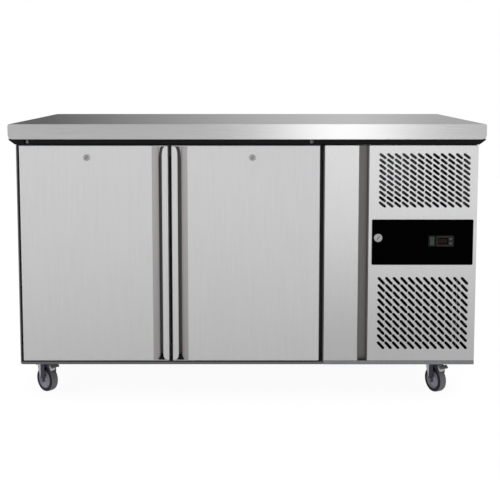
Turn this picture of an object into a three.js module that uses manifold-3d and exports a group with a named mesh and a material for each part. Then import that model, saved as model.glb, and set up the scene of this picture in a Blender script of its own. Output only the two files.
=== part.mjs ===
// Two-door undercounter refrigerator with a machine compartment on its right, on four swivel casters.
// Millimetres, +Z up, the front faces -Y, origin on the floor under the middle of the worktop.
import * as THREE from "three";
import { mergeVertices } from "three/addons/utils/BufferGeometryUtils.js";
import Module from "manifold-3d";

const wasm = await Module();
wasm.setup();

// ---- Driving dimensions -------------------------------------------------------------------------

const WIDTH = 1360; // worktop, left to right
const DEPTH = 700; // worktop, front to back
const HEIGHT = 810; // floor to worktop
const SHEET = 1.5; // folded stainless sheet
const LINER_SHEET = 1.2;
const FIT = 0.4; // gap between pieces that only meet

const FASCIA = 43; // height of the worktop's upright edge
const OVERHANG = 17.5; // worktop beyond the body on every side
const SKIRT_TOP = HEIGHT - FASCIA - FIT;
const SKIRT_BOTTOM = 751;

const BODY_X = WIDTH / 2 - OVERHANG; // outer face of a side panel
const BODY_BACK = DEPTH / 2 - OVERHANG;
const BODY_BOTTOM = 106; // underside of the base, on top of the casters
const BODY_TOP = 750;
const FRONT = -332; // the plane that the doors and front panels share

const FRAME_FRONT = -271.5; // the face that the door gaskets close on
const FRAME_BACK = -262;
const FRAME_RIGHT = 318;
const OPENING = { x0: -608, x1: 163, z0: 152, z1: 713 };
const CAVITY = { x0: -612, x1: 268, y0: -261.6, y1: 280, z0: 152, z1: 713 };
const MULLION = { x0: -252, x1: -193 };
const SILL_TOP = 113.5;
const FOAM_TOP = 747;

const DOOR_Z0 = 118.4;
const DOOR_Z1 = 747.4;
const DOOR_WIDTH = 426;
const DOOR_THICK = 50;
const PIN_FROM_EDGE = 24; // hinge axis from the door's outer edge
const PIN_FROM_FRONT = 14; // hinge axis behind the door's front face
const PIN_RADIUS = 4;
const LEFT_PIN_X = -630;
const RIGHT_PIN_X = 185;
const PIN_Y = FRONT + PIN_FROM_FRONT;
const LOCK_FROM_PIN = 170;
const LOCK_Z = 713;

const FILLER = { x0: 222.4, x1: 321 };
const MACHINE_X0 = 321.4; // left wall of the machine compartment
const PANEL_Z0 = 118.4; // lower edge of the filler and the machine door
const PANEL_Z1 = 748;
const MACHINE_DOOR_X0 = 349.6;
const MACHINE_DOOR_THICK = 24;
const MACHINE_PIN = { x: 654, y: -313 };
const CONTROL = { x0: 359.4, x1: 651.6, z0: 402, z1: 534.4 };

const WHEEL_RADIUS = 37.5;
const WHEEL_HALF_WIDTH = 12.5;
const WHEEL_SIDES = 20;
const CASTER_TRAIL = 20; // axle behind the swivel axis
// Which way each wheel trails, in degrees from +X.
const CASTER_YAW = { front_left: -42, front_right: -63, back_left: -54, back_right: -54 };
const CASTER_LEFT_X = -618;
const CASTER_RIGHT_X = 558;
const CASTER_FRONT_Y = -234;
const CASTER_BACK_Y = 262;

// ---- Materials ----------------------------------------------------------------------------------

const finish = (color, roughness, metalness) =>
  new THREE.MeshStandardMaterial({ color, roughness, metalness });
const steel = finish(0xc6c7c9, 0.35, 1);
const darkSteel = finish(0x8d8a86, 0.4, 1);
const zinc = finish(0xa9abb3, 0.35, 1);
const aluminium = finish(0xc2c6ca, 0.45, 1);
const blackPlastic = finish(0x161617, 0.5, 0);
const frameGrey = finish(0x38393b, 0.6, 0);
const gasketRubber = finish(0x2a2b2d, 0.8, 0);
const whitePlastic = finish(0xe4e5e6, 0.5, 0);
const foamYellow = finish(0xd9c98e, 0.9, 0);
const glossBlack = finish(0x050506, 0.12, 0);
const switchGreen = finish(0x2f7a45, 0.3, 0);
const bezelGrey = finish(0x4b4b4d, 0.5, 0);
const tyreRubber = finish(0x3a3840, 0.7, 0);
const compressorBlack = finish(0x1c1d20, 0.45, 0.3);

// ---- Solids -------------------------------------------------------------------------------------

// A three.js geometry as a manifold-3d solid.
function solid(geometry) {
  const bare = geometry.index ? geometry.toNonIndexed() : geometry.clone();
  for (const name of Object.keys(bare.attributes)) {
    if (name !== "position") bare.deleteAttribute(name);
  }
  const merged = mergeVertices(bare, 1e-4);
  return new wasm.Manifold(
    new wasm.Mesh({
      numProp: 3,
      vertProperties: new Float32Array(merged.attributes.position.array),
      triVerts: new Uint32Array(merged.index.array),
    }),
  );
}

function geometryOf(made) {
  const mesh = made.getMesh();
  const geometry = new THREE.BufferGeometry();
  geometry.setAttribute("position", new THREE.BufferAttribute(mesh.vertProperties, 3));
  geometry.setIndex(new THREE.BufferAttribute(mesh.triVerts, 1));
  return geometry;
}

const join = (...pieces) => pieces.flat().reduce((whole, piece) => whole.add(piece));
const cut = (whole, ...tools) => tools.flat().reduce((left, tool) => left.subtract(tool), whole);

// A block between two corners.
function block(x0, x1, y0, y1, z0, z1) {
  const geometry = new THREE.BoxGeometry(x1 - x0, y1 - y0, z1 - z0);
  return solid(geometry.translate((x0 + x1) / 2, (y0 + y1) / 2, (z0 + z1) / 2));
}

// A block whose bottom is narrower than its top by inset on every side.
function taperedBlock(halfX, halfY, inset, z0, z1) {
  const geometry = new THREE.BoxGeometry(2 * halfX, 2 * halfY, z1 - z0);
  const position = geometry.attributes.position;
  for (let i = 0; i < position.count; i++) {
    if (position.getZ(i) > 0) continue;
    position.setX(i, Math.sign(position.getX(i)) * (halfX - inset));
    position.setY(i, Math.sign(position.getY(i)) * (halfY - inset));
  }
  return solid(geometry.translate(0, 0, (z0 + z1) / 2));
}

// Outlines are lists of [a, b] points: prismZ draws them in (x, y), prismY in (x, z), prismX in (y, z).
function extrude(points, length) {
  const shape =
    points instanceof THREE.Shape ? points : new THREE.Shape(points.map(([a, b]) => new THREE.Vector2(a, b)));
  return new THREE.ExtrudeGeometry(shape, { depth: length, bevelEnabled: false, curveSegments: 3 });
}

const prismZ = (points, z0, z1) => solid(extrude(points, z1 - z0).translate(0, 0, z0));
const prismY = (points, y0, y1) =>
  solid(extrude(points, y1 - y0).rotateX(Math.PI / 2).translate(0, y1, 0));
const prismX = (points, x0, x1) =>
  solid(
    extrude(points, x1 - x0)
      .rotateX(Math.PI / 2)
      .rotateZ(Math.PI / 2)
      .translate(x0, 0, 0),
  );

// A cylinder between two values along an axis; u and v are its centre on the other two axes,
// in X, Y, Z order.
function rod(axis, radius, from, to, u, v, sides = 16) {
  const geometry = new THREE.CylinderGeometry(radius, radius, to - from, sides);
  const middle = (from + to) / 2;
  if (axis === "x") geometry.rotateZ(Math.PI / 2).translate(middle, u, v);
  if (axis === "y") geometry.translate(u, middle, v);
  if (axis === "z") geometry.rotateX(Math.PI / 2).translate(u, v, middle);
  return solid(geometry);
}

// A turned solid: profile points are [radius, height] round the local Y axis.
const turned = (profile, sides) =>
  new THREE.LatheGeometry(profile.map(([r, h]) => new THREE.Vector2(r, h)), sides);

// A rectangle in (x, y) whose two front corners are rounded.
function frontRounded(x0, x1, y0, y1, radius) {
  const shape = new THREE.Shape();
  shape.moveTo(x1, y1);
  shape.lineTo(x0, y1);
  shape.lineTo(x0, y0 + radius);
  shape.quadraticCurveTo(x0, y0, x0 + radius, y0);
  shape.lineTo(x1 - radius, y0);
  shape.quadraticCurveTo(x1, y0, x1, y0 + radius);
  shape.closePath();
  return shape;
}

// ---- The scene graph ----------------------------------------------------------------------------

const fridge = new THREE.Group();

function place(name, made, material, parent = fridge) {
  const mesh = new THREE.Mesh(geometryOf(made), material);
  mesh.name = name;
  parent.add(mesh);
  return mesh;
}

// ---- Worktop ------------------------------------------------------------------------------------

function worktopSkin() {
  const [x, y] = [WIDTH / 2, DEPTH / 2];
  const under = HEIGHT - FASCIA;
  const returnLip = 16;
  const outside = block(-x, x, -y, y, under, HEIGHT);
  const inside = block(-x + SHEET, x - SHEET, -y + SHEET, y - SHEET, under + SHEET, HEIGHT - SHEET);
  const mouth = block(-x + returnLip, x - returnLip, -y + returnLip, y - returnLip, under - 1, under + 2);
  return cut(outside, inside, mouth);
}

function worktopCore() {
  const clear = SHEET + FIT;
  const [x, y] = [WIDTH / 2 - clear, DEPTH / 2 - clear];
  return block(-x, x, -y, y, HEIGHT - FASCIA + clear, HEIGHT - clear);
}

// The dark rail between worktop and body; it leans in under the worktop's edge.
function worktopSkirt() {
  const inset = SKIRT_TOP - SKIRT_BOTTOM;
  const railWidth = 28;
  const ring = taperedBlock(WIDTH / 2 - FIT, DEPTH / 2 - FIT, inset, SKIRT_BOTTOM, SKIRT_TOP);
  const [x, y] = [BODY_X - railWidth + 2, BODY_BACK - railWidth + 2];
  const middle = block(-x, x, -y, y, SKIRT_BOTTOM - 1, SKIRT_TOP + 1);
  const capSlots = [LEFT_PIN_X, RIGHT_PIN_X].map((pin) =>
    block(pin - 7, pin + 7, -DEPTH / 2 - 1, PIN_Y + 8, SKIRT_BOTTOM - 1, SKIRT_TOP - 1),
  );
  return cut(ring, middle, capSlots);
}

// ---- Cabinet shell ------------------------------------------------------------------------------

function backPanel() {
  const x = BODY_X - SHEET - FIT;
  const panel = block(-x, x, BODY_BACK - SHEET, BODY_BACK, BODY_BOTTOM, BODY_TOP);
  const [slotX0, slotX1, slotHeight, lowest, pitch, rows] = [410, 570, 9, 230, 34, 9];
  const slots = [];
  for (let row = 0; row < rows; row++) {
    const z = lowest + row * pitch;
    slots.push(block(slotX0, slotX1, BODY_BACK - 5, BODY_BACK + 5, z, z + slotHeight));
  }
  return cut(panel, slots, rod("y", GLAND_RADIUS + FIT, BODY_BACK - 5, BODY_BACK + 5, GLAND.x, GLAND.z));
}

// The floor of the whole body, with an upright front flange below the filler and the machine door.
function basePan() {
  const inner = BODY_X - SHEET - FIT;
  const top = BODY_BOTTOM + 2;
  const floor = block(-inner, inner, -325, BODY_BACK - SHEET - FIT, BODY_BOTTOM, top);
  const apron = block(FILLER.x0, BODY_X, -330.5, -324, BODY_BOTTOM, top);
  const flange = block(FILLER.x0, BODY_X, -330.5, -326.5, BODY_BOTTOM, PANEL_Z0 - 1);
  return join(floor, apron, flange);
}

function cabinetFoam() {
  const wall = LINER_SHEET + FIT;
  const sheet = SHEET + FIT;
  const bottom = BODY_BOTTOM + 2 + FIT;
  const { x0, x1, y1, z0, z1 } = CAVITY;
  const whole = block(-BODY_X + sheet, FRAME_RIGHT, FRAME_BACK + FIT, BODY_BACK - sheet, bottom, FOAM_TOP);
  const hollow = block(x0 - wall, x1 + wall, FRAME_BACK - 1, y1 + wall, z0 - wall, z1 + wall);
  return cut(whole, hollow);
}

function innerLiner() {
  const wall = LINER_SHEET;
  const { x0, x1, y0, y1, z0, z1 } = CAVITY;
  const outside = block(x0 - wall, x1 + wall, y0, y1 + wall, z0 - wall, z1 + wall);
  return cut(outside, block(x0, x1, y0 - 1, y1, z0, z1));
}

// Moulded dark frame: the sealing face round the door opening, a sill below the doors and a cheek
// at each end.
function faceFrame() {
  const left = -BODY_X + SHEET + FIT;
  const cheek = 1.2;
  const sillFront = FRONT + 3;
  const sillRight = FILLER.x0 - 1.4;
  const lipBack = sillFront + 3.6;
  const face = block(left, FRAME_RIGHT, FRAME_FRONT, FRAME_BACK, BODY_BOTTOM + 2 + FIT, FOAM_TOP);
  const sill = block(left, sillRight, lipBack - 1, FRAME_FRONT + 1, BODY_BOTTOM + 2 + FIT, SILL_TOP);
  const leftCheek = block(left, left + cheek, lipBack - 1, FRAME_FRONT + 1, SILL_TOP - 1, FOAM_TOP);
  const rightCheek = block(sillRight - cheek, sillRight, sillFront, FRAME_FRONT + 1, SILL_TOP - 1, FOAM_TOP);
  const lip = prismY(
    [
      [-BODY_X, BODY_TOP],
      [-BODY_X, BODY_BOTTOM + 5],
      [-BODY_X + 1.5, BODY_BOTTOM + 1.5],
      [-BODY_X + 5, BODY_BOTTOM],
      [sillRight, BODY_BOTTOM],
      [sillRight, SILL_TOP],
      [left + cheek, SILL_TOP],
      [left + cheek, BODY_TOP],
    ],
    sillFront,
    lipBack,
  );
  const opening = block(OPENING.x0, OPENING.x1, FRAME_FRONT - 1, FRAME_BACK + 1, OPENING.z0, OPENING.z1);
  return cut(join(face, sill, leftCheek, rightCheek, lip), opening);
}

const centreMullion = () =>
  block(MULLION.x0, MULLION.x1, FRAME_FRONT, -226, OPENING.z0 + FIT, OPENING.z1 - FIT);

// A folded tray open at the back: front sheet with four returns.
function foldedTray(x0, x1, y0, y1, z0, z1, radius) {
  const outside = prismZ(frontRounded(x0, x1, y0, y1, radius), z0, z1);
  return cut(outside, block(x0 + SHEET, x1 - SHEET, y0 + SHEET, y1 + 1, z0 + SHEET, z1 - SHEET));
}

const fillerPanel = () =>
  foldedTray(FILLER.x0, FILLER.x1, FRONT, FRAME_FRONT - FIT, PANEL_Z0, PANEL_Z1, 2);

// Sheet that walls off the machine compartment and folds into the recessed channel beside its door.
function partitionChannel() {
  const x = MACHINE_X0;
  const right = MACHINE_DOOR_X0 - 1;
  const lead = FRONT + 1;
  const floor = FRONT + 19;
  const outline = [
    [x, lead],
    [x + SHEET, lead],
    [x + SHEET, floor],
    [right - SHEET, floor],
    [right - SHEET, lead],
    [right, lead],
    [right, floor + SHEET],
    [x + SHEET, floor + SHEET],
    [x + SHEET, BODY_BACK - 4],
    [x, BODY_BACK - 4],
  ];
  const wall = prismZ(outline, BODY_BOTTOM + 2 + FIT, FOAM_TOP);
  return cut(wall, block(x - 1, right + 1, lead - 1, -326, BODY_BOTTOM, PANEL_Z0 - FIT));
}

// ---- Storage space ------------------------------------------------------------------------------

const SHELF = { y0: -232, y1: 270, z: 427.5, wire: 3, bar: 6 };
const RACK = { y0: -238, y1: CAVITY.y1 - FIT, z0: CAVITY.z0 + FIT, z1: 470, ledge: 18 };
const LEDGE_HEIGHTS = [215, 320, 425];

// Welded wire shelf between two x values: bars round the edge and across, wires from front to back on top.
function wireShelf(x0, x1) {
  const { y0, y1, z, wire, bar } = SHELF;
  const wires = 10;
  const top = z + bar;
  const parts = [
    block(x0, x0 + bar, y0, y1, z, top),
    block(x1 - bar, x1, y0, y1, z, top),
    block(x0, x1, y0, y0 + bar, z, top),
    block(x0, x1, y1 - bar, y1, z, top),
    block(x0 + 1, x1 - 1, (y0 + y1) / 2 - 3, (y0 + y1) / 2 + 3, z, top - 0.5),
  ];
  for (let i = 1; i <= wires; i++) {
    const x = x0 + ((x1 - x0) * i) / (wires + 1);
    parts.push(block(x - wire / 2, x + wire / 2, y0 + 1, y1 - 1, top - 1, top - 1 + wire));
  }
  return join(parts);
}

// Ledges on one side of an upright sheet; side is +1 for ledges towards +X.
const ledges = (x, side) =>
  LEDGE_HEIGHTS.map((z) => {
    const tip = x + side * RACK.ledge;
    return block(Math.min(x, tip), Math.max(x, tip), RACK.y0, RACK.y1, z, z + 2);
  });

function sideRack(wallX, side) {
  const face = wallX + side * SHEET;
  const plate = block(Math.min(wallX, face), Math.max(wallX, face), RACK.y0, RACK.y1, RACK.z0, RACK.z1);
  return join(plate, ledges(face - side * 0.5, side));
}

function middleRack() {
  const [x0, x1] = [MULLION.x0 - 3.5, MULLION.x1 + 3.5];
  const outside = block(x0, x1, RACK.y0 + 20, RACK.y1, RACK.z0, RACK.z1);
  const inside = block(x0 + SHEET, x1 - SHEET, RACK.y0 - 1, RACK.y1 - SHEET, RACK.z0 - 1, RACK.z1 + 1);
  return join(cut(outside, inside), ledgesFrom(x0 + 0.5, -1), ledgesFrom(x1 - 0.5, 1));
}

const ledgesFrom = (x, side) =>
  LEDGE_HEIGHTS.map((z) => {
    const tip = x + side * RACK.ledge;
    return block(Math.min(x, tip), Math.max(x, tip), RACK.y0 + 20, RACK.y1, z, z + 2);
  });

// ---- Fans and evaporator ------------------------------------------------------------------------

// Axial fan turning about local Y: a hub and flat pitched blades.
function fan(radius, hubRadius, depth, blades) {
  const parts = [rod("y", hubRadius, -depth / 2, depth / 2, 0, 0)];
  const middle = (radius + hubRadius) / 2;
  for (let i = 0; i < blades; i++) {
    const blade = new THREE.BoxGeometry(radius - hubRadius + 6, 2, radius * 0.6);
    blade.rotateX(THREE.MathUtils.degToRad(32));
    blade.translate(middle - 3, 0, 0);
    blade.rotateY((i * 2 * Math.PI) / blades);
    parts.push(solid(blade));
  }
  return join(parts).intersect(rod("y", radius, -depth, depth, 0, 0, 24));
}

const COVER_X = 176;
const EVAP_FAN = { x: 196, y: 10, z: 590, radius: 78 };

// Upright panel between storage and evaporator: fan outlet, intake gap, the motor on a strut, shelf ledges.
function evaporatorCover() {
  const [x0, x1] = [COVER_X, COVER_X + SHEET];
  const { y, z, radius } = EVAP_FAN;
  const panel = block(x0, x1, -258, CAVITY.y1 - FIT, CAVITY.z0 + FIT, CAVITY.z1 - FIT);
  const intake = block(x0 - 5, x1 + 5, -200, 215, CAVITY.z0 - 1, 182);
  const open = cut(panel, intake, rod("x", radius + 5, x0 - 5, x1 + 5, y, z, 12));
  const strut = block(x0, x1 + 2.5, y - radius - 10, y + radius + 10, z - 4, z + 4);
  const motor = [rod("x", 20, x0 - 8, x1 + 4, y, z), rod("x", 4, x0, EVAP_FAN.x - 7.4, y, z)];
  return join(open, strut, motor, ledges(x0 + 0.5, -1));
}

function evaporatorCoil() {
  const [x0, x1, y0, y1, z0, z1] = [216, 264.6, -190, 210, 250, 690];
  const core = block(x0, x1, y0, y1, z0, z1);
  const plates = [y0, y1].map((y) => block(x0 - 3, x1 + 3, y - 2, y + 2, z0 - 4, z1 + 4));
  return join(core, plates);
}

// ---- Hinges -------------------------------------------------------------------------------------

// Upper bracket of a storage door: plate over the door, flange on the frame, pin down into the
// door, cap above.
function topHinge(x) {
  const [under, over] = [DOOR_Z1 + 0.8, DOOR_Z1 + 2.8];
  const back = FRAME_FRONT - FIT;
  const plate = block(x - 18, x + 18, PIN_Y - 9, back, under, over);
  const flange = block(x - 18, x + 18, back - 2, back, over - 12, over);
  const pin = rod("z", PIN_RADIUS, DOOR_Z1 - 14, over - 1, x, PIN_Y, 12);
  const cap = rod("z", 6, over - 1, SKIRT_TOP - 2.5, x, PIN_Y, 12);
  return join(plate, flange, pin, cap);
}

function bottomHinge(x) {
  const plate = block(x - 18, x + 18, PIN_Y - 7, FRAME_FRONT - FIT, SILL_TOP + FIT, SILL_TOP + 3.4);
  const pin = rod("z", PIN_RADIUS, SILL_TOP + 2, DOOR_Z0 + 14, x, PIN_Y, 12);
  const washer = rod("z", 7.5, SILL_TOP + 3, DOOR_Z0 - FIT, x, PIN_Y, 12);
  return join(plate, pin, washer);
}

function machineDoorHinge() {
  const { x, y } = MACHINE_PIN;
  const lower = block(x - 8, BODY_X - SHEET - FIT, y - 8, -296, PANEL_Z0 - 3.2, PANEL_Z0 - 1.2);
  const upper = block(x - 8, BODY_X - SHEET - FIT, y - 8, -296, PANEL_Z1 + 0.8, BODY_TOP + 0.6);
  return join(lower, upper, rod("z", 3, PANEL_Z0 - 3, BODY_TOP + 0.4, x, y, 10));
}

// ---- Storage doors ------------------------------------------------------------------------------

// A door is drawn about its hinge axis with side +1 when it reaches towards +X, and -1 when mirrored.
const GRIP = {
  panelEnd: 356, // where the flat front ends
  slopeEnd: 374,
  slopeDepth: 10,
  pocketDepth: 26,
  lipStart: 385,
  lipThick: 4,
  pocketEnd: 398,
};
const DOOR = {
  near: -PIN_FROM_EDGE,
  far: DOOR_WIDTH - PIN_FROM_EDGE,
  front: -PIN_FROM_FRONT,
  back: DOOR_THICK - PIN_FROM_FRONT,
};

const mirrored = (side, points) => points.map(([x, y]) => [side * x, y]);
const between = (a, b) => [Math.min(a, b), Math.max(a, b)];
const sideBlock = (side, x0, x1, ...rest) => block(...between(side * x0, side * x1), ...rest);

// The finger channel along the free edge: straight front panel, slope, pocket and the undercut
// behind the lip.
function gripPocket(side) {
  const { panelEnd, slopeEnd, slopeDepth, pocketDepth, lipStart, lipThick, pocketEnd } = GRIP;
  const f = DOOR.front;
  const outline = [
    [panelEnd - 1, f - 1],
    [lipStart, f - 1],
    [lipStart, f + lipThick],
    [pocketEnd, f + lipThick],
    [pocketEnd, f + pocketDepth],
    [slopeEnd, f + pocketDepth],
    [slopeEnd, f + slopeDepth],
  ];
  return prismZ(mirrored(side, outline), DOOR_Z0 + SHEET, DOOR_Z1 - SHEET);
}

// The same channel grown by its sheet.
function gripSheet(side, extra) {
  const { panelEnd, slopeEnd, slopeDepth, pocketDepth } = GRIP;
  const f = DOOR.front;
  const outline = [
    [panelEnd - 2 - extra, f],
    [slopeEnd - SHEET - extra, f + slopeDepth + 0.6 + extra * 0.4],
    [slopeEnd - SHEET - extra, f + pocketDepth + SHEET + extra],
    [DOOR.far - SHEET + 0.2, f + pocketDepth + SHEET + extra],
    [DOOR.far - SHEET + 0.2, f],
  ];
  return prismZ(mirrored(side, outline), DOOR_Z0 + SHEET - extra, DOOR_Z1 - SHEET + extra);
}

// The lip's corners at both ends, rounded away towards the pocket.
function lipCorners(side) {
  const reach = 9;
  const x = GRIP.lipStart;
  return [
    [DOOR_Z1 - SHEET, -1, 28],
    [DOOR_Z0 + SHEET, 1, 18],
  ].map(([z, inwards, rise]) => {
    const arc = [0, 0.25, 0.5, 0.75, 1].map((t) => {
      const angle = (t * Math.PI) / 2;
      return [side * (x + reach * (1 - Math.cos(angle))), z + inwards * rise * (1 - Math.sin(angle))];
    });
    const outline = [[side * (x - 1), z + inwards * rise], ...arc, [side * (x - 1), z]];
    return prismY(outline, DOOR.front - 1, DOOR.front + GRIP.lipThick + 0.5);
  });
}

const LOCK_TONGUE = 46; // upright it reaches up behind the skirt

// Room for the lock's barrel and for its tongue to turn from flat to upright.
function lockRoom(side) {
  const reach = LOCK_TONGUE + 2;
  const x = LOCK_FROM_PIN;
  const halfTongue = 7;
  const [y0, y1] = [13.2, 18];
  const disc = rod("y", reach + 1, y0, y1, side * x, LOCK_Z, 32);
  const [x0, z0] = [x - halfTongue, LOCK_Z - halfTongue];
  const quarter = sideBlock(side, x0, x + reach + 1, y0, y1, z0, LOCK_Z + reach + 1);
  return [rod("y", 8.7, -20, 18, side * x, LOCK_Z), disc.intersect(quarter)];
}

const pinHoles = () => [
  rod("z", PIN_RADIUS + 0.7, DOOR_Z1 - 16, DOOR_Z1 + 1, 0, 0, 12),
  rod("z", PIN_RADIUS + 0.7, DOOR_Z0 - 1, DOOR_Z0 + 16, 0, 0, 12),
];

function doorSkin(side) {
  const [x0, x1] = between(side * DOOR.near, side * DOOR.far);
  const tray = foldedTray(x0, x1, DOOR.front, DOOR.back, DOOR_Z0, DOOR_Z1, 3);
  return cut(join(tray, gripSheet(side, 0)), gripPocket(side), lipCorners(side), lockRoom(side), pinHoles());
}

// Foamed core with its moulded inner face.
function doorLiner(side) {
  const gap = 0.35;
  const core = sideBlock(
    side,
    DOOR.near + SHEET + gap,
    DOOR.far - SHEET - gap,
    DOOR.front + SHEET + gap,
    DOOR.back,
    DOOR_Z0 + SHEET + gap,
    DOOR_Z1 - SHEET - gap,
  );
  const plug = sideBlock(side, 24, 366, DOOR.back - 1, DOOR.back + 5, OPENING.z0 + 4, OPENING.z1 - 4);
  return cut(join(core, plug), gripSheet(side, 0.4), lockRoom(side), pinHoles());
}

function doorGasket(side) {
  const [x0, x1, z0, z1, width] = [0.5, 390, 130.4, 735.4, 14];
  const y0 = DOOR.back + 0.3;
  const y1 = FRAME_FRONT - PIN_Y - 0.6;
  const outside = sideBlock(side, x0, x1, y0, y1, z0, z1);
  return cut(outside, sideBlock(side, x0 + width, x1 - width, y0 - 1, y1 + 1, z0 + width, z1 - width));
}

// Key-turned barrel with a tongue that lies flat when unlocked.
function doorLock(side) {
  const x = side * LOCK_FROM_PIN;
  const face = rod("y", 9, -17.4, -14.3, x, LOCK_Z);
  const barrel = rod("y", 8, -14.4, 14.5, x, LOCK_Z);
  const tip = LOCK_FROM_PIN + LOCK_TONGUE;
  const tongue = sideBlock(side, LOCK_FROM_PIN - 6, tip, 14, 17, LOCK_Z - 6, LOCK_Z + 6);
  const keyway = block(x - 1, x + 1, -18, -15.6, LOCK_Z - 5, LOCK_Z + 5);
  return cut(join(face, barrel, tongue), keyway);
}

function storageDoor(label, pinX, side) {
  const door = new THREE.Group();
  door.position.set(pinX, PIN_Y, 0);
  place(`${label}_door_skin`, doorSkin(side), steel, door);
  place(`${label}_door_liner`, doorLiner(side), whitePlastic, door);
  place(`${label}_door_gasket`, doorGasket(side), gasketRubber, door);
  place(`${label}_door_lock`, doorLock(side), zinc, door);
  fridge.add(door);
}

// ---- Machine compartment door -------------------------------------------------------------------

// A field of slanted air slots: columns and rows of parallelograms in (x, z).
function slotField({ x, z, columns, rows, pitchX, pitchZ, run, drop, width }) {
  const slots = [];
  const half = width / 2;
  const length = Math.hypot(run, drop);
  const [nx, nz] = [(drop / length) * half, (run / length) * half];
  for (let c = 0; c < columns; c++) {
    for (let r = 0; r < rows; r++) {
      const [x0, z0] = [x + c * pitchX, z - r * pitchZ];
      const [x1, z1] = [x0 + run, z0 - drop];
      slots.push([
        [x0 - nx, z0 - nz],
        [x1 - nx, z1 - nz],
        [x1 + nx, z1 + nz],
        [x0 + nx, z0 + nz],
      ]);
    }
  }
  return slots;
}

const UPPER_SLOTS = {
  x: 382, // start of the first slot's middle line
  z: 722.6,
  columns: 12,
  rows: 10,
  pitchX: 21.9,
  pitchZ: 15.5,
  run: 13.4,
  drop: 10.4,
  width: 6.3,
};
const LOWER_SLOTS = {
  ...UPPER_SLOTS,
  x: 381.6,
  z: 362.4,
  pitchZ: 21.2,
  run: 14.6,
  drop: 15.6,
  width: 6.8,
};

function machineDoorSkin() {
  const { x, y } = MACHINE_PIN;
  const margin = 4;
  const [x0, x1] = [MACHINE_DOOR_X0 + SHEET, BODY_X - SHEET];
  const [z0, z1] = [PANEL_Z0 + SHEET, PANEL_Z1 - SHEET];
  const corner = (a, b) => new THREE.Vector2(a, b);
  const front = new THREE.Shape([corner(x0, z0), corner(x1, z0), corner(x1, z1), corner(x0, z1)]);
  const window = [
    [CONTROL.x0 + margin, CONTROL.z0 + margin],
    [CONTROL.x1 - margin, CONTROL.z0 + margin],
    [CONTROL.x1 - margin, CONTROL.z1 - margin],
    [CONTROL.x0 + margin, CONTROL.z1 - margin],
  ];
  for (const hole of [...slotField(UPPER_SLOTS), ...slotField(LOWER_SLOTS), window]) {
    front.holes.push(new THREE.Path(hole.map(([a, b]) => corner(a, b))));
  }
  const back = FRONT + MACHINE_DOOR_THICK;
  const tray = foldedTray(MACHINE_DOOR_X0, BODY_X, FRONT, back, PANEL_Z0, PANEL_Z1, 2);
  const opening = block(x0, x1, FRONT - 1, FRONT + SHEET + 0.2, z0, z1);
  const sheet = prismY(front, FRONT, FRONT + SHEET);
  const pinRoom = [
    rod("z", 3.8, PANEL_Z0 - 1, PANEL_Z0 + 3, x, y),
    rod("z", 3.8, PANEL_Z1 - 3, PANEL_Z1 + 1, x, y),
  ];
  return cut(join(cut(tray, opening), sheet), pinRoom).translate([-x, -y, 0]);
}

const SWITCH = { x0: 522.9, x1: 542.4, z0: 456.3, z1: 487.7 };
const THERMOSTAT = { x0: 544.9, x1: 595.3, z0: 456.3, z1: 487.7 };
const MACHINE_LOCK = { x: 377.4, z: 481.3 };
const PLATE_FRONT = FRONT - 1.8;
const BUTTON = { x: 586.5, halfX: 3.6, halfZ: 3, lower: 465.5, upper: 478.5 };

function rockerHousing() {
  const { x0, x1, z0, z1 } = SWITCH;
  const bezel = block(x0, x1, PLATE_FRONT - 2.2, PLATE_FRONT + 1, z0, z1);
  return join(bezel, block(x0 + 1, x1 - 1, PLATE_FRONT, PLATE_FRONT + 20, z0 + 1, z1 - 1));
}

function rockerWell() {
  const { x0, x1, z0, z1 } = SWITCH;
  return block(x0 + 3, x1 - 3, PLATE_FRONT - 3, PLATE_FRONT + 16, z0 + 3, z1 - 3);
}

function thermostatHole() {
  const { x0, x1, z0, z1 } = THERMOSTAT;
  const edge = 2 - FIT;
  return block(x0 + edge, x1 - edge, PLATE_FRONT - 1, FRONT + 1, z0 + edge, z1 - edge);
}

// Glossy control fascia over the door's window, with the switch's well and a shallow housing for the wiring.
function controlPlate() {
  const face = block(CONTROL.x0, CONTROL.x1, PLATE_FRONT, FRONT - 0.3, CONTROL.z0, CONTROL.z1);
  const housing = cut(
    block(400, 640, FRONT - 0.8, -300, 410, 526),
    block(402, 638, FRONT - 2, -299, 412, 524),
  );
  const lockHole = rod("y", 10.8, PLATE_FRONT - 1, FRONT + 1, MACHINE_LOCK.x, MACHINE_LOCK.z);
  return cut(join(cut(join(face, housing), lockHole), rockerHousing()), rockerWell(), thermostatHole());
}

function machineDoorLock() {
  const { x, z } = MACHINE_LOCK;
  const face = rod("y", 12, PLATE_FRONT - 3.4, PLATE_FRONT - 0.3, x, z, 20);
  const barrel = rod("y", 10, PLATE_FRONT - 0.4, -303.5, x, z);
  const tongue = block(x - 7, x + 7, -306, -303, z - 42, z + 7);
  const keyway = block(x - 1.2, x + 1.2, PLATE_FRONT - 4, PLATE_FRONT - 1.6, z - 6, z + 6);
  return cut(join(face, barrel, tongue), keyway);
}

const ROCKER_TILT = THREE.MathUtils.degToRad(7);

// See-saw key, drawn about its own axis and tilted into the well.
function rocker() {
  const half = (SWITCH.x1 - SWITCH.x0) / 2 - 3.5;
  const reach = (SWITCH.z1 - SWITCH.z0) / 2 - 3.7;
  const outline = [
    [-4.4, 0],
    [-2.4, reach],
    [3, reach - 1.5],
    [5, 0],
    [3, -reach + 1.5],
    [-2.4, -reach],
  ];
  return prismX(outline, -half, half);
}

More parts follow.
